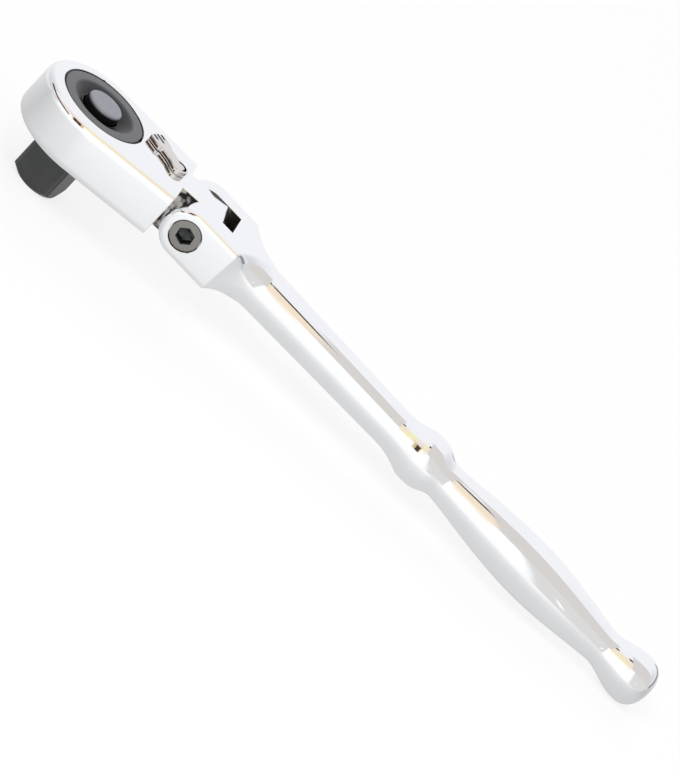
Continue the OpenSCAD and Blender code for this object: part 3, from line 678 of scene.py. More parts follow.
def head_blank(s):
    """The solid head: its outline stacked by height, pulled in along a quarter of an ellipse at the top edge
    and at the bottom edge."""
    keep = 0.15 * MM
    low = np.linspace(np.pi / 2, 0, 13)
    high = np.linspace(0, np.pi / 2, 25)
    inset = np.concatenate(([s.bottom_round + keep], s.bottom_round * (1 - np.cos(low)), [0, 0],
                            s.top_round * (1 - np.cos(high)), [s.top_round + keep]))
    z = np.concatenate(([s.bottom], s.bottom + s.bottom_rise * (1 - np.sin(low)),
                        [s.bottom + s.bottom_rise + keep, s.top - s.top_drop - keep],
                        s.top - s.top_drop * (1 - np.sin(high)), [s.top]))
    edge = 0.3 * MM
    depth = np.minimum(z - s.bottom, s.top - z)
    rear = np.where(depth < edge, edge - np.sqrt(np.clip(edge ** 2 - (edge - depth) ** 2, 0, None)), 0)
    rear[0] = rear[-1] = edge + keep
    return skin("chrome_head", lifted([head_outline(s, *pair) for pair in zip(inset, rear)], z))


def tongue_blank(s):
    """The tongue: a bar whose end in side view is an arc about the hinge between its flats, stacked across
    its width with its edges rounded."""
    edge = 0.35 * MM
    turn = np.linspace(0, np.pi / 2, 5)
    keep = 0.15 * MM
    inset = np.concatenate(([edge + keep], edge * (1 - np.sin(turn)), edge * (1 - np.cos(turn)),
                            [edge + keep]))
    y = np.concatenate(([-s.tongue_half], -s.tongue_half + edge * (1 - np.cos(turn)),
                        s.tongue_half - edge * (1 - np.sin(turn)), [s.tongue_half]))
    half, reach = s.tongue - inset[:, None], s.tongue_end - inset[:, None]
    swept = np.arcsin(half / reach) * np.linspace(1, -1, 48)
    root = np.full_like(half, s.shoulder - 1 * MM)
    before = HINGE[0] + np.sqrt(reach ** 2 - half ** 2) - 0.3 * MM
    x = np.concatenate((root, before, HINGE[0] + reach * np.cos(swept), before, root), 1)
    z = HINGE[2] + np.concatenate((half, half, reach * np.sin(swept), -half, -half), 1)
    return skin("tongue", np.stack(np.broadcast_arrays(x, y[:, None], z), -1))


def post(name, radius, low, high, middle):
    """A round bar along Z."""
    return skin(name, turned([(radius, low), (radius, high)], 64) + (*middle, 0))


class RATCHET_OT_head(bpy.types.Operator):
    """Make the head with its tongue, gear chamber, pawl pocket and bores"""
    bl_idname = "ratchet.head"
    bl_label = "Head"

    def execute(self, context):
        s = context.scene.ratchet_head
        piece = head_blank(s)
        edge = 0.12 * MM
        journal, gear, gear_floor = 8.65 * MM, 11.9 * MM, 16.9 * MM
        groove, groove_low, groove_high = 13.35 * MM, 26.85 * MM, 27.75 * MM
        chamber = [(journal + 5 * edge, s.bottom - 4 * edge), (journal, s.bottom + edge),
                   (journal, gear_floor), (gear, gear_floor), (gear, s.cover_seat), (s.hole, s.cover_seat),
                   (s.hole, groove_low), (groove, groove_low), (groove, groove_high), (s.hole, groove_high),
                   (s.hole, s.top - edge), (s.hole + 5 * edge, s.top + 4 * edge)]
        pin = np.array(JOINTS["pawl_rock"]["pos_m"])[:2]
        lever = LEVER_PIVOT[:2]
        a = around(160)
        room = (17.3 * MM, 24.7 * MM)
        pawl_reach, plunger_reach = 10.3 * MM, 4.4 * MM
        wall = np.clip(pin[0] + pawl_reach * np.cos(a), 5.7 * MM, 21.8 * MM)
        pocket = np.stack((wall, pin[1] + pawl_reach * np.sin(a)), 1)
        sweep = np.stack((np.minimum(plunger_reach * np.cos(a), 0), plunger_reach * np.sin(a)), 1)
        front_half = slice(40, 121)
        across = 2 * s.tongue_half
        pivot = lying(turned([(PIVOT_BORE, -across), (PIVOT_BORE, across)], 64)) + HINGE
        cutters = [skin("chamber", turned(chamber, 160)), skin("pocket", lifted(pocket, room)),
                   skin("plunger_room", lifted(sweep[front_half] + lever, room)),
                   post("clip_room", 3.4 * MM, *room, lever),
                   post("shaft_hole", 2.35 * MM, 15.8 * MM, s.top + 1 * MM, lever),
                   post("pin_hole", 1.52 * MM, s.bottom - 1 * MM, 26.6 * MM, pin),
                   skin("pivot_hole", pivot)]
        carve(piece, cutters, [tongue_blank(s)])
        # Painted shade and painted reflections: the tongue's sides between the ears get bare steel in
        # near-black and grey patches for the dark wedge and its glints.
        middles, normals = face_fields(piece)
        beside = (middles[:, 0] > s.shoulder) & (np.abs(normals[:, 1]) > 0.9)
        settle(piece, "head", "head_body", "polished_chrome_plate", "stained_steel", beside)
        return {"FINISHED"}


class RATCHET_OT_cover(bpy.types.Operator):
    """Make the dished cover, its snap ring and the push button"""
    bl_idname = "ratchet.cover"
    bl_label = "Cover and Button"

    def execute(self, context):
        s = context.scene.ratchet_head
        top = s.top / MM - 0.1
        dish = top - 1.7
        corners = np.array([(5.55, 25.7), (12.85, 25.7), (12.85, 26.85), (12.35, 26.85), (12.35, top),
                            (9.5, top), (6.0, dish), (5.55, dish)]) * MM
        rounds = np.array([0.1, 0.1, 0.1, 0.1, 0.18, 0.5, 0.12, 0.12]) * MM
        cover = skin("cover_dish", turned(fillet(corners, rounds, 5), 192), closed=True, sharp=50)
        settle(cover, "head", "cover_plate", "turned_grey_oxide")
        ring = fillet(np.array([(12.4, 26.9), (13.3, 26.9), (13.3, 27.7), (12.4, 27.7)]) * MM, 0.15 * MM, 4)
        gap = math.radians(6)
        a = np.linspace(gap, 2 * np.pi - gap, 180)[:, None]
        snap = skin("snap_ring", polar(ring[:, 0], a, ring[:, 1]))
        settle(snap, "head", "cover_snap_ring", "blackened_spring_steel")
        b, r = s.button_top, s.button
        wall, hub, pin = r - 0.7 * MM, 3.2 * MM, 1.6 * MM
        skirt, hub_end = 23.6 * MM, 25.2 * MM
        roof, socket = b - BUTTON_ROOF, b - 1 * MM
        # The second corner lies just over the top, so that the flat keeps its own normals.
        button = [(0.02 * MM, b), (r - 1.15 * MM, b + 0.02 * MM), (r, b), (r, skirt), (wall, skirt),
                  (wall, roof), (hub, roof), (hub, hub_end), (pin, hub_end), (pin, socket),
                  (0.02 * MM, socket)]
        rounds = np.array([0.05, 0.85, *[0.08] * 7]) * MM
        cap = skin("push_button", turned(fillet(button, rounds, 6, closed=False), 128), sharp=40)
        settle(cap, "button", "button_cap", "satin_grey_oxide")
        return {"FINISHED"}


def drive_rings(s):
    """Rings of drive and gear in one stack: a square with turned corners inside a chamfer cone, the round
    journal, the gear with a tooth every pitch, and then down inside the well and the bore. Also gives how
    near each point is to an edge of the square, from 0 to 1."""
    per_tooth = 10
    a = around(s.teeth * per_tooth)
    square = s.drive_half / np.maximum(np.abs(np.cos(a - s.drive_turn)), np.abs(np.sin(a - s.drive_turn)))
    corner = s.drive_half * math.sqrt(2) - 0.48 * MM
    tip = s.drive_half - 0.15 * MM
    chamfer = 1.85 * MM
    z = np.concatenate((np.linspace(0, 2.2 * MM, 26), [4 * MM, s.bottom - 0.3 * MM, s.bottom]))
    cone = tip + (corner - tip) * z / chamfer
    limit = np.minimum(cone, corner)[:, None]
    bar = soft_min(square[None, :], limit, 0.22 * MM)
    edge = np.clip(1 - np.abs(square[None, :] - limit) / (0.3 * MM), 0, 1)
    phase = (a / (2 * np.pi) * s.teeth + 0.5) % 1 - 0.5
    root, crest = 10.95 * MM, 11.4 * MM
    flat = 0.09
    tooth = root + (crest - root) * np.clip((0.5 - flat - np.abs(phase)) / (0.5 - 2 * flat), 0, 1)
    journal, well, bore = 8.6 * MM, 5.4 * MM, 2.7 * MM
    gear_low, gear_high = 17 * MM, 25.2 * MM
    level = [(journal, s.bottom), (journal, gear_low), (tooth, gear_low), (tooth, gear_high),
             (well, gear_high), (well, WELL_FLOOR), (bore, WELL_FLOOR), (bore, 1.4 * MM)]
    radius = np.concatenate((bar, [np.broadcast_to(r, a.shape) for r, _ in level]))
    height = np.concatenate((z, [h for _, h in level]))
    return polar(radius, a, height[:, None]), np.concatenate((edge, np.zeros((len(level), len(a)))))


class RATCHET_OT_drive(bpy.types.Operator):
    """Make the square drive with its gear, and the ball that holds a socket"""
    bl_idname = "ratchet.drive"
    bl_label = "Square Drive"

    def execute(self, context):
        s = context.scene.ratchet_head
        grid, edge = drive_rings(s)
        piece = skin("square_drive", grid, sharp=30)
        wear_and_shade = piece.data.attributes.new("edge", "FLOAT", "POINT")
        wear_and_shade.data.foreach_set("value", edge.ravel().astype(np.float32))
        bore, mouth, lip = 2.25 * MM, 1.98 * MM, s.drive_half - 0.35 * MM
        hole = lying(turned([(bore, 0), (bore, lip), (mouth, lip), (mouth, s.drive_half + 1 * MM)], 48))
        hole = swung(hole + (0, 0, BALL_HEIGHT), s.drive_turn, 0, 1)
        carve(piece, [skin("ball_hole", hole)], sharp=30)
        settle(piece, "drive", "drive_gear", "dark_phosphate_steel")
        a = np.linspace(-np.pi / 2, np.pi / 2, 42)[1:-1]
        sphere = turned(np.stack((np.cos(a), np.sin(a)), 1) * 2.2 * MM, 64) + (0, 4.95 * MM, BALL_HEIGHT)
        ball = skin("detent_ball_bearing", swung(sphere, s.drive_turn, 0, 1))
        settle(ball, "ball", "detent_ball", "drawn_spring_steel")
        return {"FINISHED"}


def lever_outline(reach):
    """Upper half of the lever's outline from the front edge to the rear of its round end, with the pad,
    the waist and the end run together by arcs, and then the lower half as its mirror."""
    end = 2.6 * MM
    start = math.radians(108)
    front, pad, waist = -reach / MM, 2.75, 1.85
    corners = np.array([(front, 0.0), (front + 0.33, pad), (-6.7, pad), (-6.05, waist), (-2.6, waist)]) * MM
    meet = np.array((end * math.cos(start), end * math.sin(start)))
    upper = fillet([*corners, meet], np.array([0.75, 0.8, 0.8, 2.0]) * MM, 7, closed=False)
    a = np.linspace(start, 0, 22)[1:]
    upper = np.concatenate((upper, np.stack((np.cos(a), np.sin(a)), 1) * end))
    return np.concatenate((upper, upper[-2:0:-1] * (1, -1)))


class RATCHET_OT_lever(bpy.types.Operator):
    """Make the reversing lever with its thumb grooves and shaft"""
    bl_idname = "ratchet.lever"
    bl_label = "Reversing Lever"

    def execute(self, context):
        s = context.scene.ratchet_head
        reach = 11.3 * MM
        outline = lever_outline(reach)
        along = unit(np.roll(outline, -1, 0) - np.roll(outline, 1, 0))
        inward = np.stack((along[:, 1], -along[:, 0]), 1)
        low, high = LEVER_PIVOT[2], s.lever_top
        edge, under, keep = 0.35 * MM, 0.15 * MM, 0.12 * MM
        turn = np.linspace(0, np.pi / 2, 7)
        inset = np.concatenate(([under + keep], under * (1 - np.sin(turn)), edge * (1 - np.cos(turn)),
                                [edge + keep]))
        z = np.concatenate(([low], low + under * (1 - np.cos(turn)), high - edge * (1 - np.sin(turn)),
                            [high]))
        grid = lifted(outline[None] + inward[None] * inset[:, None, None], z)
        piece = skin("thumb_lever", on_lever(grid, s), mirrored=True)
        post_r, groove = 2.3 * MM, 1.9 * MM
        groove_low, groove_high = 23.95 * MM, 24.65 * MM
        shaft = [(2.0 * MM, 15.9 * MM), (post_r, 16.2 * MM), (post_r, groove_low), (groove, groove_low),
                 (groove, groove_high), (post_r, groove_high), (post_r, low + 0.5 * MM)]
        bore = turned([(1.05 * MM, -PLUNGER_SEAT), (1.05 * MM, 3 * MM)], 40)
        cuts = {"plunger_bore": [lengthwise(bore, (0, 0, PLUNGER_HEIGHT), -1)], "groove": []}
        rib, groove_r = 1.5, 0.36 * MM
        for place, run in ((-rib, 2.5), (0, 3.7), (rib, 2.5)):
            bar = turned([(0.05 * MM, run * MM), (groove_r, run * MM - 0.5 * MM), (groove_r, -1 * MM)], 20)
            cuts["groove"].append(lengthwise(bar, (-reach, place * MM, high)))
        arc = np.radians(np.linspace(-20, 150, 40))[:, None]
        section = np.array([(1.35, -0.5), (2.02, -0.5), (2.02, 0.3), (1.35, 0.3)]) * MM
        cuts["mark"] = [polar(section[:, 0], arc, section[:, 1] + high)]
        cutters = [skin(name, on_lever(shape, s)) for name, shapes in cuts.items() for shape in shapes]
        carve(piece, cutters, [skin("shaft", on_lever(turned(shaft, 64), s))], sharp=40)
        # Painted shade: the grooves and the mark round the shaft get a near-black finish for the shade that
        # falls in them.
        x, y, z = off_lever(face_fields(piece)[0], s).T
        sunk = (z < high - 0.02 * MM) & (z > high - 0.6 * MM)
        off_middle = np.abs(np.abs(np.abs(y) - rib / 2 * MM) - rib / 2 * MM)
        grooved = sunk & (off_middle < 0.38 * MM) & (x < -7.5 * MM) & (x > 0.2 * MM - reach)
        marked = sunk & (np.hypot(x, y) < 2.03 * MM)
        settle(piece, "lever", "reversing_lever", "satin_chrome_plate", "grimy_steel",
               grooved | marked)
        return {"FINISHED"}


class RATCHET_OT_screw(bpy.types.Operator):
    """Make the hex socket screw that is the hinge pin"""
    bl_idname = "ratchet.screw"
    bl_label = "Hinge Screw"

    def execute(self, context):
        s = context.scene.ratchet_handle
        sides = 240
        a = around(sides)
        flats = 2 * MM / np.cos((a + math.radians(16)) % (np.pi / 3) - np.pi / 6)
        face, end = -12.05, 11.6
        head, pin, thread = 4.25, 3, 2.5
        corners = np.array([(0.05, end), (thread, end), (thread, 7.1), (pin, 7.1), (pin, -10.05),
                            (head, -10.05), (head, face), (2.6, face - 0.001)]) * MM
        rounds = np.array([0.4, 0.05, 0.2, 0.1, 0.1, 0.35]) * MM
        outside = turned(fillet(corners, rounds, 6, closed=False), sides)
        share, depth = np.array([(1.12, 0), (1.0, 0.25), (1.0, 2.6), (0.05, 3.2)]).T[..., None]
        inside = polar(share * flats, a, (face + depth) * MM)
        piece = skin("hinge_screw", on_handle(lying(np.concatenate((outside, inside))), s), sharp=30)
        # Painted shade: the faces inside the hex socket get a dark finish for the shade in the recess.
        x, y, z = (face_fields(piece)[0] - HINGE).T
        deep = y - face * MM
        hexed = (np.hypot(x, z) < 2.5 * MM) & (deep > 0.01 * MM) & (deep < 3.3 * MM)
        settle(piece, "handle", "pivot_screw", "black_oxide_steel", "sooty_steel", hexed)
        return {"FINISHED"}


def coil(radius, wire, turns, span, rings=40, sides=12):
    """A round wire wound round Z: the helix's angle along the wire, and the wire's own angle round it. The
    last turn at each end lies almost flat."""
    t = np.linspace(0, turns, turns * rings + 1)
    even = 0.16
    climb = np.clip((t - 0.75) / (turns - 1.5), 0, 1) * (1 - even) + even * t / turns
    b = around(sides)
    height = wire + (span - 2 * wire) * climb[:, None] + wire * np.sin(b)
    return polar(radius + wire * np.cos(b), 2 * np.pi * t[:, None], height)


class RATCHET_OT_springs(bpy.types.Operator):
    """Make the springs under the button and behind the plunger"""
    bl_idname = "ratchet.springs"
    bl_label = "Springs"

    def execute(self, context):
        s = context.scene.ratchet_head
        air = 0.02 * MM
        span = s.button_top - BUTTON_ROOF - WELL_FLOOR - 2 * air
        wound = coil(3.85 * MM, 0.35 * MM, 5, span) + (0, 0, WELL_FLOOR + air)
        lift = skin("button_coil", wound, sharp=60)
        settle(lift, "drive", "button_spring", "drawn_spring_steel")
        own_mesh(lift)
        span = 2.41 * MM
        wound = coil(0.65 * MM, 0.15 * MM, 3, span, 32, 10) + (0, 0, air - PLUNGER_SEAT)
        wound = lengthwise(wound, (0, 0, PLUNGER_HEIGHT), -1)
        push = skin("plunger_coil", on_lever(wound, s), sharp=60)
        settle(push, "lever", "plunger_spring", "drawn_spring_steel")
        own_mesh(push)
        return {"FINISHED"}


class RATCHET_OT_inner(bpy.types.Operator):
    """Finish the inner pieces that keep their CAD shape"""
    bl_idname = "ratchet.inner"
    bl_label = "Inner Pieces"

    def execute(self, context):
        bright = ("tension_washer", "thrust_washer", "pawl_pin", "release_pin", "lever_ring", "lever_plunger")
        kept = dict.fromkeys(bright, "drawn_spring_steel")
        kept["pawl"] = "dark_phosphate_steel"
        for name, material in kept.items():
            for slot in frame["nodes"][name].material_slots:
                slot.material = finish(material)
        return {"FINISHED"}


# Studio
def card(name, start, end, rise, shader_of):
    """A flat card of the studio: its foot runs from start to end, and rise leads to its upper edge."""
    material, tree, place = new_material(name)
    add(tree, "OutputMaterial", {"Surface": shader_of(tree, place)})
    foot = np.array((start, end))
    mesh = bpy.data.meshes.new(name)
    mesh.from_pydata([*foot, *(foot[::-1] + rise)], [], [(0, 1, 2, 3)])
    mesh.materials.append(material)
    made = bpy.data.objects.new(name, mesh)
    bpy.context.scene.collection.objects.link(made)
    return made


def reflected_only(made):
    """Hides a card from all but the rays that a shiny surface sends."""
    made.visible_camera = False
    made.visible_diffuse = False
    made.visible_shadow = False
    made.visible_transmission = False
    made.visible_volume_scatter = False


def stand_at(scene, name, data, right, up, back, place):
    """An object at a place, turned by the directions of its own axes."""
    made = bpy.data.objects.new(name, data)
    scene.collection.objects.link(made)
    turn = np.eye(4)
    turn[:3] = np.stack((right, up, back, place), 1)
    made.matrix_world = Matrix(turn.tolist())
    return made


class RATCHET_OT_stage(bpy.types.Operator):
    """Make the floor, the light and the camera"""
    bl_idname = "ratchet.stage"
    bl_label = "Studio"

    def execute(self, context):
        scene = context.scene
        scene.view_settings.view_transform = "Standard"
        self.light(scene)
        self.floor(scene)
        self.cards()
        self.lamps(scene)
        self.camera(scene)
        return {"FINISHED"}

    def light(self, scene):
        """A world that is white to the camera, lavender white to reflections and soft grey as light."""
        world = bpy.data.worlds.new("studio")
        scene.world = world
        world.use_nodes = True
        tree = world.node_tree
        tree.nodes.clear()
        rays = ("Is Camera Ray", "Is Glossy Ray", "Is Transmission Ray")
        direct, glossy, clear = add(tree, "LightPath", out=rays)
        way = add(tree, "SeparateXYZ", {"Vector": add(tree, "TexCoord", out="Generated")}, "X")
        side = add(tree, "Math", {0: way}, operation="ABSOLUTE")
        fade = add(tree, "MapRange", {"Value": side, "From Min": 0.3, "From Max": 0.95},
                   interpolation_type="SMOOTHSTEP")
        sky = add(tree, "Mix", {"Factor": fade, "A": linear("#fcfcff"), "B": linear("#dedee1")},
                  data_type="RGBA")
        seen = add(tree, "Mix", {"Factor": direct, "A": sky, "B": (1, 1, 1, 1)}, data_type="RGBA")
        picture = add(tree, "Background", {"Color": seen, "Strength": 1.0})
        lamp = add(tree, "Background", {"Color": linear("#f7f7fa"), "Strength": 0.45})
        shiny = add(tree, "Math", {0: glossy, 1: clear}, operation="MAXIMUM")
        shown = add(tree, "Math", {0: direct, 1: shiny}, operation="MAXIMUM")
        add(tree, "OutputWorld", {"Surface": add(tree, "MixShader", {0: shown, 1: lamp, 2: picture})})

    def floor(self, scene):
        """A pale floor that is white to the camera but for a faint shadow, and a soft grey to reflections,
        with painted
        shade there: darker close under the tool and past both its ends."""
        base = scene.ratchet_finishes.floor

        def shader(tree, place):
            """Glows where the camera or a reflection sees it, and is plain and matt to all other light."""
            direct, glossy = add(tree, "LightPath", out=("Is Camera Ray", "Is Glossy Ray"))
            x, y = add(tree, "SeparateXYZ", {"Vector": place}, ("X", "Y"))
            away = add(tree, "Math", {0: y}, operation="ABSOLUTE")
            # Painted shade seen in reflections: grey close under the tool and darker past both its ends.
            grey = add(tree, "MapRange", {"Value": away, "From Min": 0.0, "From Max": 0.085, "To Min": 0.5,
                                          "To Max": 0.84})
            left = add(tree, "MapRange", {"Value": x, "From Min": -0.015, "From Max": 0.035, "To Min": 0.82,
                                          "To Max": 1.0}, interpolation_type="SMOOTHSTEP")
            right = add(tree, "MapRange", {"Value": x, "From Min": 0.18, "From Max": 0.25, "To Min": 1.0,
                                           "To Max": 0.68}, interpolation_type="SMOOTHSTEP")
            ends = add(tree, "Math", {0: left, 1: right}, operation="MULTIPLY")
            painted_floor_shade = add(tree, "Math", {0: grey, 1: ends}, operation="MULTIPLY")
            shine = add(tree, "Math", {0: painted_floor_shade, 1: glossy}, operation="MULTIPLY")
            glow = add(tree, "Math", {0: direct, 1: 0.78, 2: shine}, operation="MULTIPLY_ADD")
            lit = add(tree, "Emission", {"Color": base, "Strength": glow})
            faint = add(tree, "BsdfDiffuse", {"Color": tinted(base, 0.24)})
            shown = add(tree, "AddShader", {0: lit, 1: faint})
            plain = add(tree, "BsdfDiffuse", {"Color": tinted(base, 0.8)})
            pick = add(tree, "Math", {0: direct, 1: glossy}, operation="MAXIMUM")
            return add(tree, "MixShader", {0: pick, 1: plain, 2: shown})
        half = 4.0
        card("pale_floor", (-half, -half, 0), (half, -half, 0), (0, 2 * half, 0), shader)

    def cards(self):
        """The white card in front of the tool, grey past its right end, and the strip over it that closes the
        gap to the back. Warm light falls on both where they meet. At the left, where the tent is open, there
        are dark cards and a stand with a red and two gold bands. Behind the right end a card is grey at its
        foot."""
        yellow, peach, pale = linear("#fcf7c4"), linear("#fdecd4"), linear("#fbfbff")
        # A peach panel with a dark upper edge reaches from lit to spent.
        lit, spent = 0.137, 0.166

        def warmth(tree, x):
            """Warm light, yellow by the head and peach from the middle of the shank on."""
            turn = add(tree, "MapRange", {"Value": x, "From Min": 0.06, "From Max": 0.12})
            return add(tree, "Mix", {"Factor": turn, "A": yellow, "B": peach}, data_type="RGBA")

        def white(tree, place):
            """White that turns grey at both ends, with a white slit in the right one, and warm from a line
            that climbs to the right."""
            x, z = add(tree, "SeparateXYZ", {"Vector": place}, ("X", "Z"))
            right = add(tree, "MapRange", {"Value": x, "From Min": 0.21, "From Max": 0.25},
                        interpolation_type="SMOOTHSTEP")
            wide, tall = 0.008, 0.04
            oval = add(tree, "Mapping", {"Vector": place, "Location": (-0.309 / wide, 0, -0.085 / tall),
                                         "Scale": (1 / wide, 0, 1 / tall)})
            off = add(tree, "VectorMath", {0: oval}, operation="LENGTH")
            slit = add(tree, "MapRange", {"Value": off, "From Min": 1.2, "From Max": 0.6})
            shut = add(tree, "Math", {0: right, 1: slit}, operation="SUBTRACT", use_clamp=True)
            plain = add(tree, "Mix", {"Factor": shut, "A": (1, 1, 1, 1), "B": linear("#dbd9d7")},
                        data_type="RGBA")
            left = add(tree, "MapRange", {"Value": x, "From Min": -0.45, "From Max": -1.1},
                       interpolation_type="SMOOTHSTEP")
            ends = add(tree, "Mix", {"Factor": left, "A": plain, "B": linear("#d9d8da")}, data_type="RGBA")
            foot = add(tree, "MapRange", {"Value": x, "From Min": 0.142, "From Max": 0.175, "To Min": 0.2,
                                          "To Max": 0.36})
            begun = add(tree, "Math", {0: x, 1: lit}, operation="LESS_THAN")
            early = add(tree, "Math", {0: begun, 1: 0.08, 2: foot}, operation="MULTIPLY_ADD")
            over = add(tree, "Math", {0: z, 1: early}, operation="SUBTRACT")
            lift = add(tree, "MapRange", {"Value": over, "From Min": -0.02, "From Max": 0.05},
                       interpolation_type="SMOOTHSTEP")
            edge = add(tree, "MapRange", {"Value": x, "From Min": 0.0, "From Max": 0.04})
            glow = add(tree, "Math", {0: lift, 1: edge}, operation="MULTIPLY")
            tone = add(tree, "Mix", {"Factor": glow, "A": ends, "B": warmth(tree, x)}, data_type="RGBA")
            return add(tree, "Emission", {"Color": tone, "Strength": 1.1})

        def over(tree, place):
            """Pale at the back and warm toward the front, with the peach panel, grey past it and a blush at
            the left."""
            x, y = add(tree, "SeparateXYZ", {"Vector": place}, ("X", "Y"))
            line_near, line_far = -0.112, -0.065
            far = add(tree, "Math", {0: y, 1: line_near}, operation="GREATER_THAN")
            lined = add(tree, "Mix", {"Factor": far, "A": peach, "B": linear("#564a3c")}, data_type="RGBA")
            glint = add(tree, "MapRange", {"Value": y, "From Min": -0.05, "From Max": -0.14})
            gold = add(tree, "Mix", {"Factor": glint, "A": pale, "B": warmth(tree, x)}, data_type="RGBA")
            front = add(tree, "Math", {0: x, 1: lit}, operation="GREATER_THAN")
            ahead = add(tree, "Mix", {"Factor": front, "A": gold, "B": lined}, data_type="RGBA")
            fade = add(tree, "MapRange", {"Value": y, "From Min": -0.29, "From Max": -0.02})
            blush = add(tree, "Mix", {"Factor": fade, "A": linear("#f3d9c4"), "B": pale}, data_type="RGBA")
            side = add(tree, "MapRange", {"Value": x, "From Min": 0.02, "From Max": -0.04})
            left = add(tree, "Mix", {"Factor": side, "A": ahead, "B": blush}, data_type="RGBA")
            above = add(tree, "Math", {0: y, 1: line_far}, operation="GREATER_THAN")
            high = add(tree, "Mix", {"Factor": above, "A": left, "B": pale}, data_type="RGBA")
            skew = add(tree, "Math", {0: y, 1: 0.05, 2: x}, operation="MULTIPLY_ADD")
            rear = add(tree, "MapRange", {"Value": skew, "From Min": spent - 0.0075,
                                          "From Max": spent - 0.004}, interpolation_type="SMOOTHSTEP")
            tone = add(tree, "Mix", {"Factor": rear, "A": high, "B": linear("#dfdad6")}, data_type="RGBA")
            return add(tree, "Emission", {"Color": tone})

        def dark(tree, place):
            """Dark brown in soft folds."""
            folds = add(tree, "TexNoise", {"Vector": place, "Scale": 14.0, "Detail": 2})
            tone = add(tree, "Mix", {"Factor": folds, "A": linear("#2a201b"), "B": linear("#6a5546")},
                       data_type="RGBA")
            return add(tree, "Emission", {"Color": tone})

        def banded(tree, place):
            """Upright bands, each from where it begins to the next."""
            x = add(tree, "SeparateXYZ", {"Vector": place}, "X")
            tone = linear("#e3c99c")
            bands = {-0.15: "#39312b", -0.105: "#96503d", -0.09: "#443930", -0.05: "#dfc79d"}
            for begin, code in bands.items():
                past = add(tree, "Math", {0: x, 1: begin}, operation="GREATER_THAN")
                tone = add(tree, "Mix", {"Factor": past, "A": tone, "B": linear(code)}, data_type="RGBA")
            return add(tree, "Emission", {"Color": tone})

        def grey(tree, place):
            """Grey at the foot, which rises to pale."""
            z = add(tree, "SeparateXYZ", {"Vector": place}, "Z")
            rise = add(tree, "MapRange", {"Value": z, "From Min": 0.04, "From Max": 0.2},
                       interpolation_type="SMOOTHSTEP")
            tone = add(tree, "Mix", {"Factor": rise, "A": linear("#8a8c92"), "B": pale}, data_type="RGBA")
            return add(tree, "Emission", {"Color": tone})

        left, right, front, back = -1.6, 1.2, -0.31, 0.04
        low, high = 0.001, 0.35
        made = [("front_card", (left, front, low), (right, front, low), (0, 0, high - low), white),
                ("top_strip", (left, front, high), (right, front, high), (0, back - front, 0), over),
                ("stand", (-0.17, -0.3, 0.165), (-0.02, -0.3, 0.165), (0, 0.06, 0.15), banded),
                ("back_card", (0.8, 0.08, low), (0.36, 0.52, low), (0, 0, 0.2 - low), grey)]
        away = 0.36
        wide = away * math.tan(math.radians(12.2))
        for number, turn in enumerate(np.radians((50, 74, 98))):
            c, s = math.cos(turn), math.sin(turn)
            middle = np.array((-s * away, -c * away, 0.155))
            across = np.array((c * wide, -s * wide, 0))
            made.append((f"dark_card_{number}", middle - across, middle + across, (0, 0, 0.075), dark))
        for row in made:
            reflected_only(card(*row))

    def lamps(self, scene):
        """Three wide soft lamps, which reflections don't show: the cards stand for them there."""
        target = np.array((0.09, 0, 0.015))
        for name, place, size, power in (("key", (-0.35, -0.75, 0.95), 0.7, 6.0),
                                         ("fill", (0.8, -0.6, 0.7), 0.8, 3.0),
                                         ("back", (0.1, 0.9, 0.9), 0.8, 3.5)):
            data = bpy.data.lights.new(name, "AREA")
            data.energy = power
            data.size = size
            data.color = linear("#fffefc")[:3]
            back = unit(place - target)
            right = unit(np.cross((0, 0, 1), back))
            lamp = stand_at(scene, name, data, right, np.cross(back, right), back, place)
            lamp.visible_glossy = False

    def camera(self, scene):
        """The photograph's view: a long lens, turned about its own axis so that the tool runs from the upper
        left to the lower right."""
        azimuth, elevation, roll = np.radians((-6.211, 23.632, 44.292))
        distance = 1647.067 * MM
        lens, film, tall = 300, 36, 770
        target = np.array((0.1, 0, 0.015))
        level = np.array((math.cos(azimuth), math.sin(azimuth), 0))
        back = np.array((math.sin(azimuth) * math.cos(elevation), -math.cos(azimuth) * math.cos(elevation),
                         math.sin(elevation)))
        rise = np.cross(back, level)
        right = level * math.cos(roll) + rise * math.sin(roll)
        up = rise * math.cos(roll) - level * math.sin(roll)
        # The target's place in the picture, in pixels right of and below its middle
        off_x, off_y = np.array((23.039, 15.716)) * distance * film / (lens * tall)
        data = bpy.data.cameras.new("camera")
        data.lens = lens
        data.sensor_width = film
        data.clip_start = 0.05
        data.clip_end = 30
        eye = target + back * distance - right * off_x + up * off_y
        scene.camera = stand_at(scene, "camera", data, right, up, back, eye)


STEPS = (RATCHET_OT_handle, RATCHET_OT_head, RATCHET_OT_cover, RATCHET_OT_drive, RATCHET_OT_lever,
         RATCHET_OT_screw, RATCHET_OT_springs, RATCHET_OT_inner, RATCHET_OT_stage)


class RATCHET_PT_panel(bpy.types.Panel):
    """Lists the steps that build the ratchet"""
    bl_idname = "RATCHET_PT_panel"
    bl_label = "Flex Head Ratchet"
    bl_space_type = "VIEW_3D"
    bl_region_type = "UI"
    bl_category = "Ratchet"

    def draw(self, context):
        for step in STEPS:
            self.layout.operator(step.bl_idname)


GROUPS = {"ratchet_handle": HandleSizes, "ratchet_head": HeadSizes, "ratchet_finishes": Finishes}
CLASSES = (*GROUPS.values(), *STEPS, RATCHET_PT_panel)


def register():
    """Gives Blender the classes, and the scene the groups of sizes and colours."""
    for kind in CLASSES:
        bpy.utils.register_class(kind)
    for name, group in GROUPS.items():
        setattr(bpy.types.Scene, name, PointerProperty(type=group))


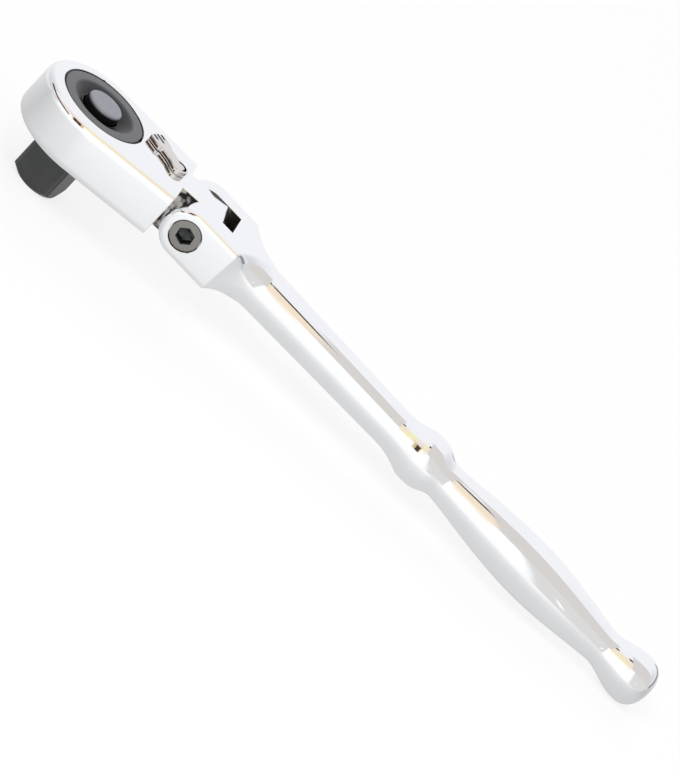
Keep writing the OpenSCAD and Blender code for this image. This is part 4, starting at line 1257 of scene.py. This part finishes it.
def unregister():
    """Takes them away again."""
    for name in GROUPS:
        delattr(bpy.types.Scene, name)
    for kind in reversed(CLASSES):
        bpy.utils.unregister_class(kind)


def main():
    """Builds everything in order."""
    register()
    for step in STEPS:
        group, name = step.bl_idname.split(".")
        getattr(getattr(bpy.ops, group), name)()


if __name__ == "__main__":
    main()
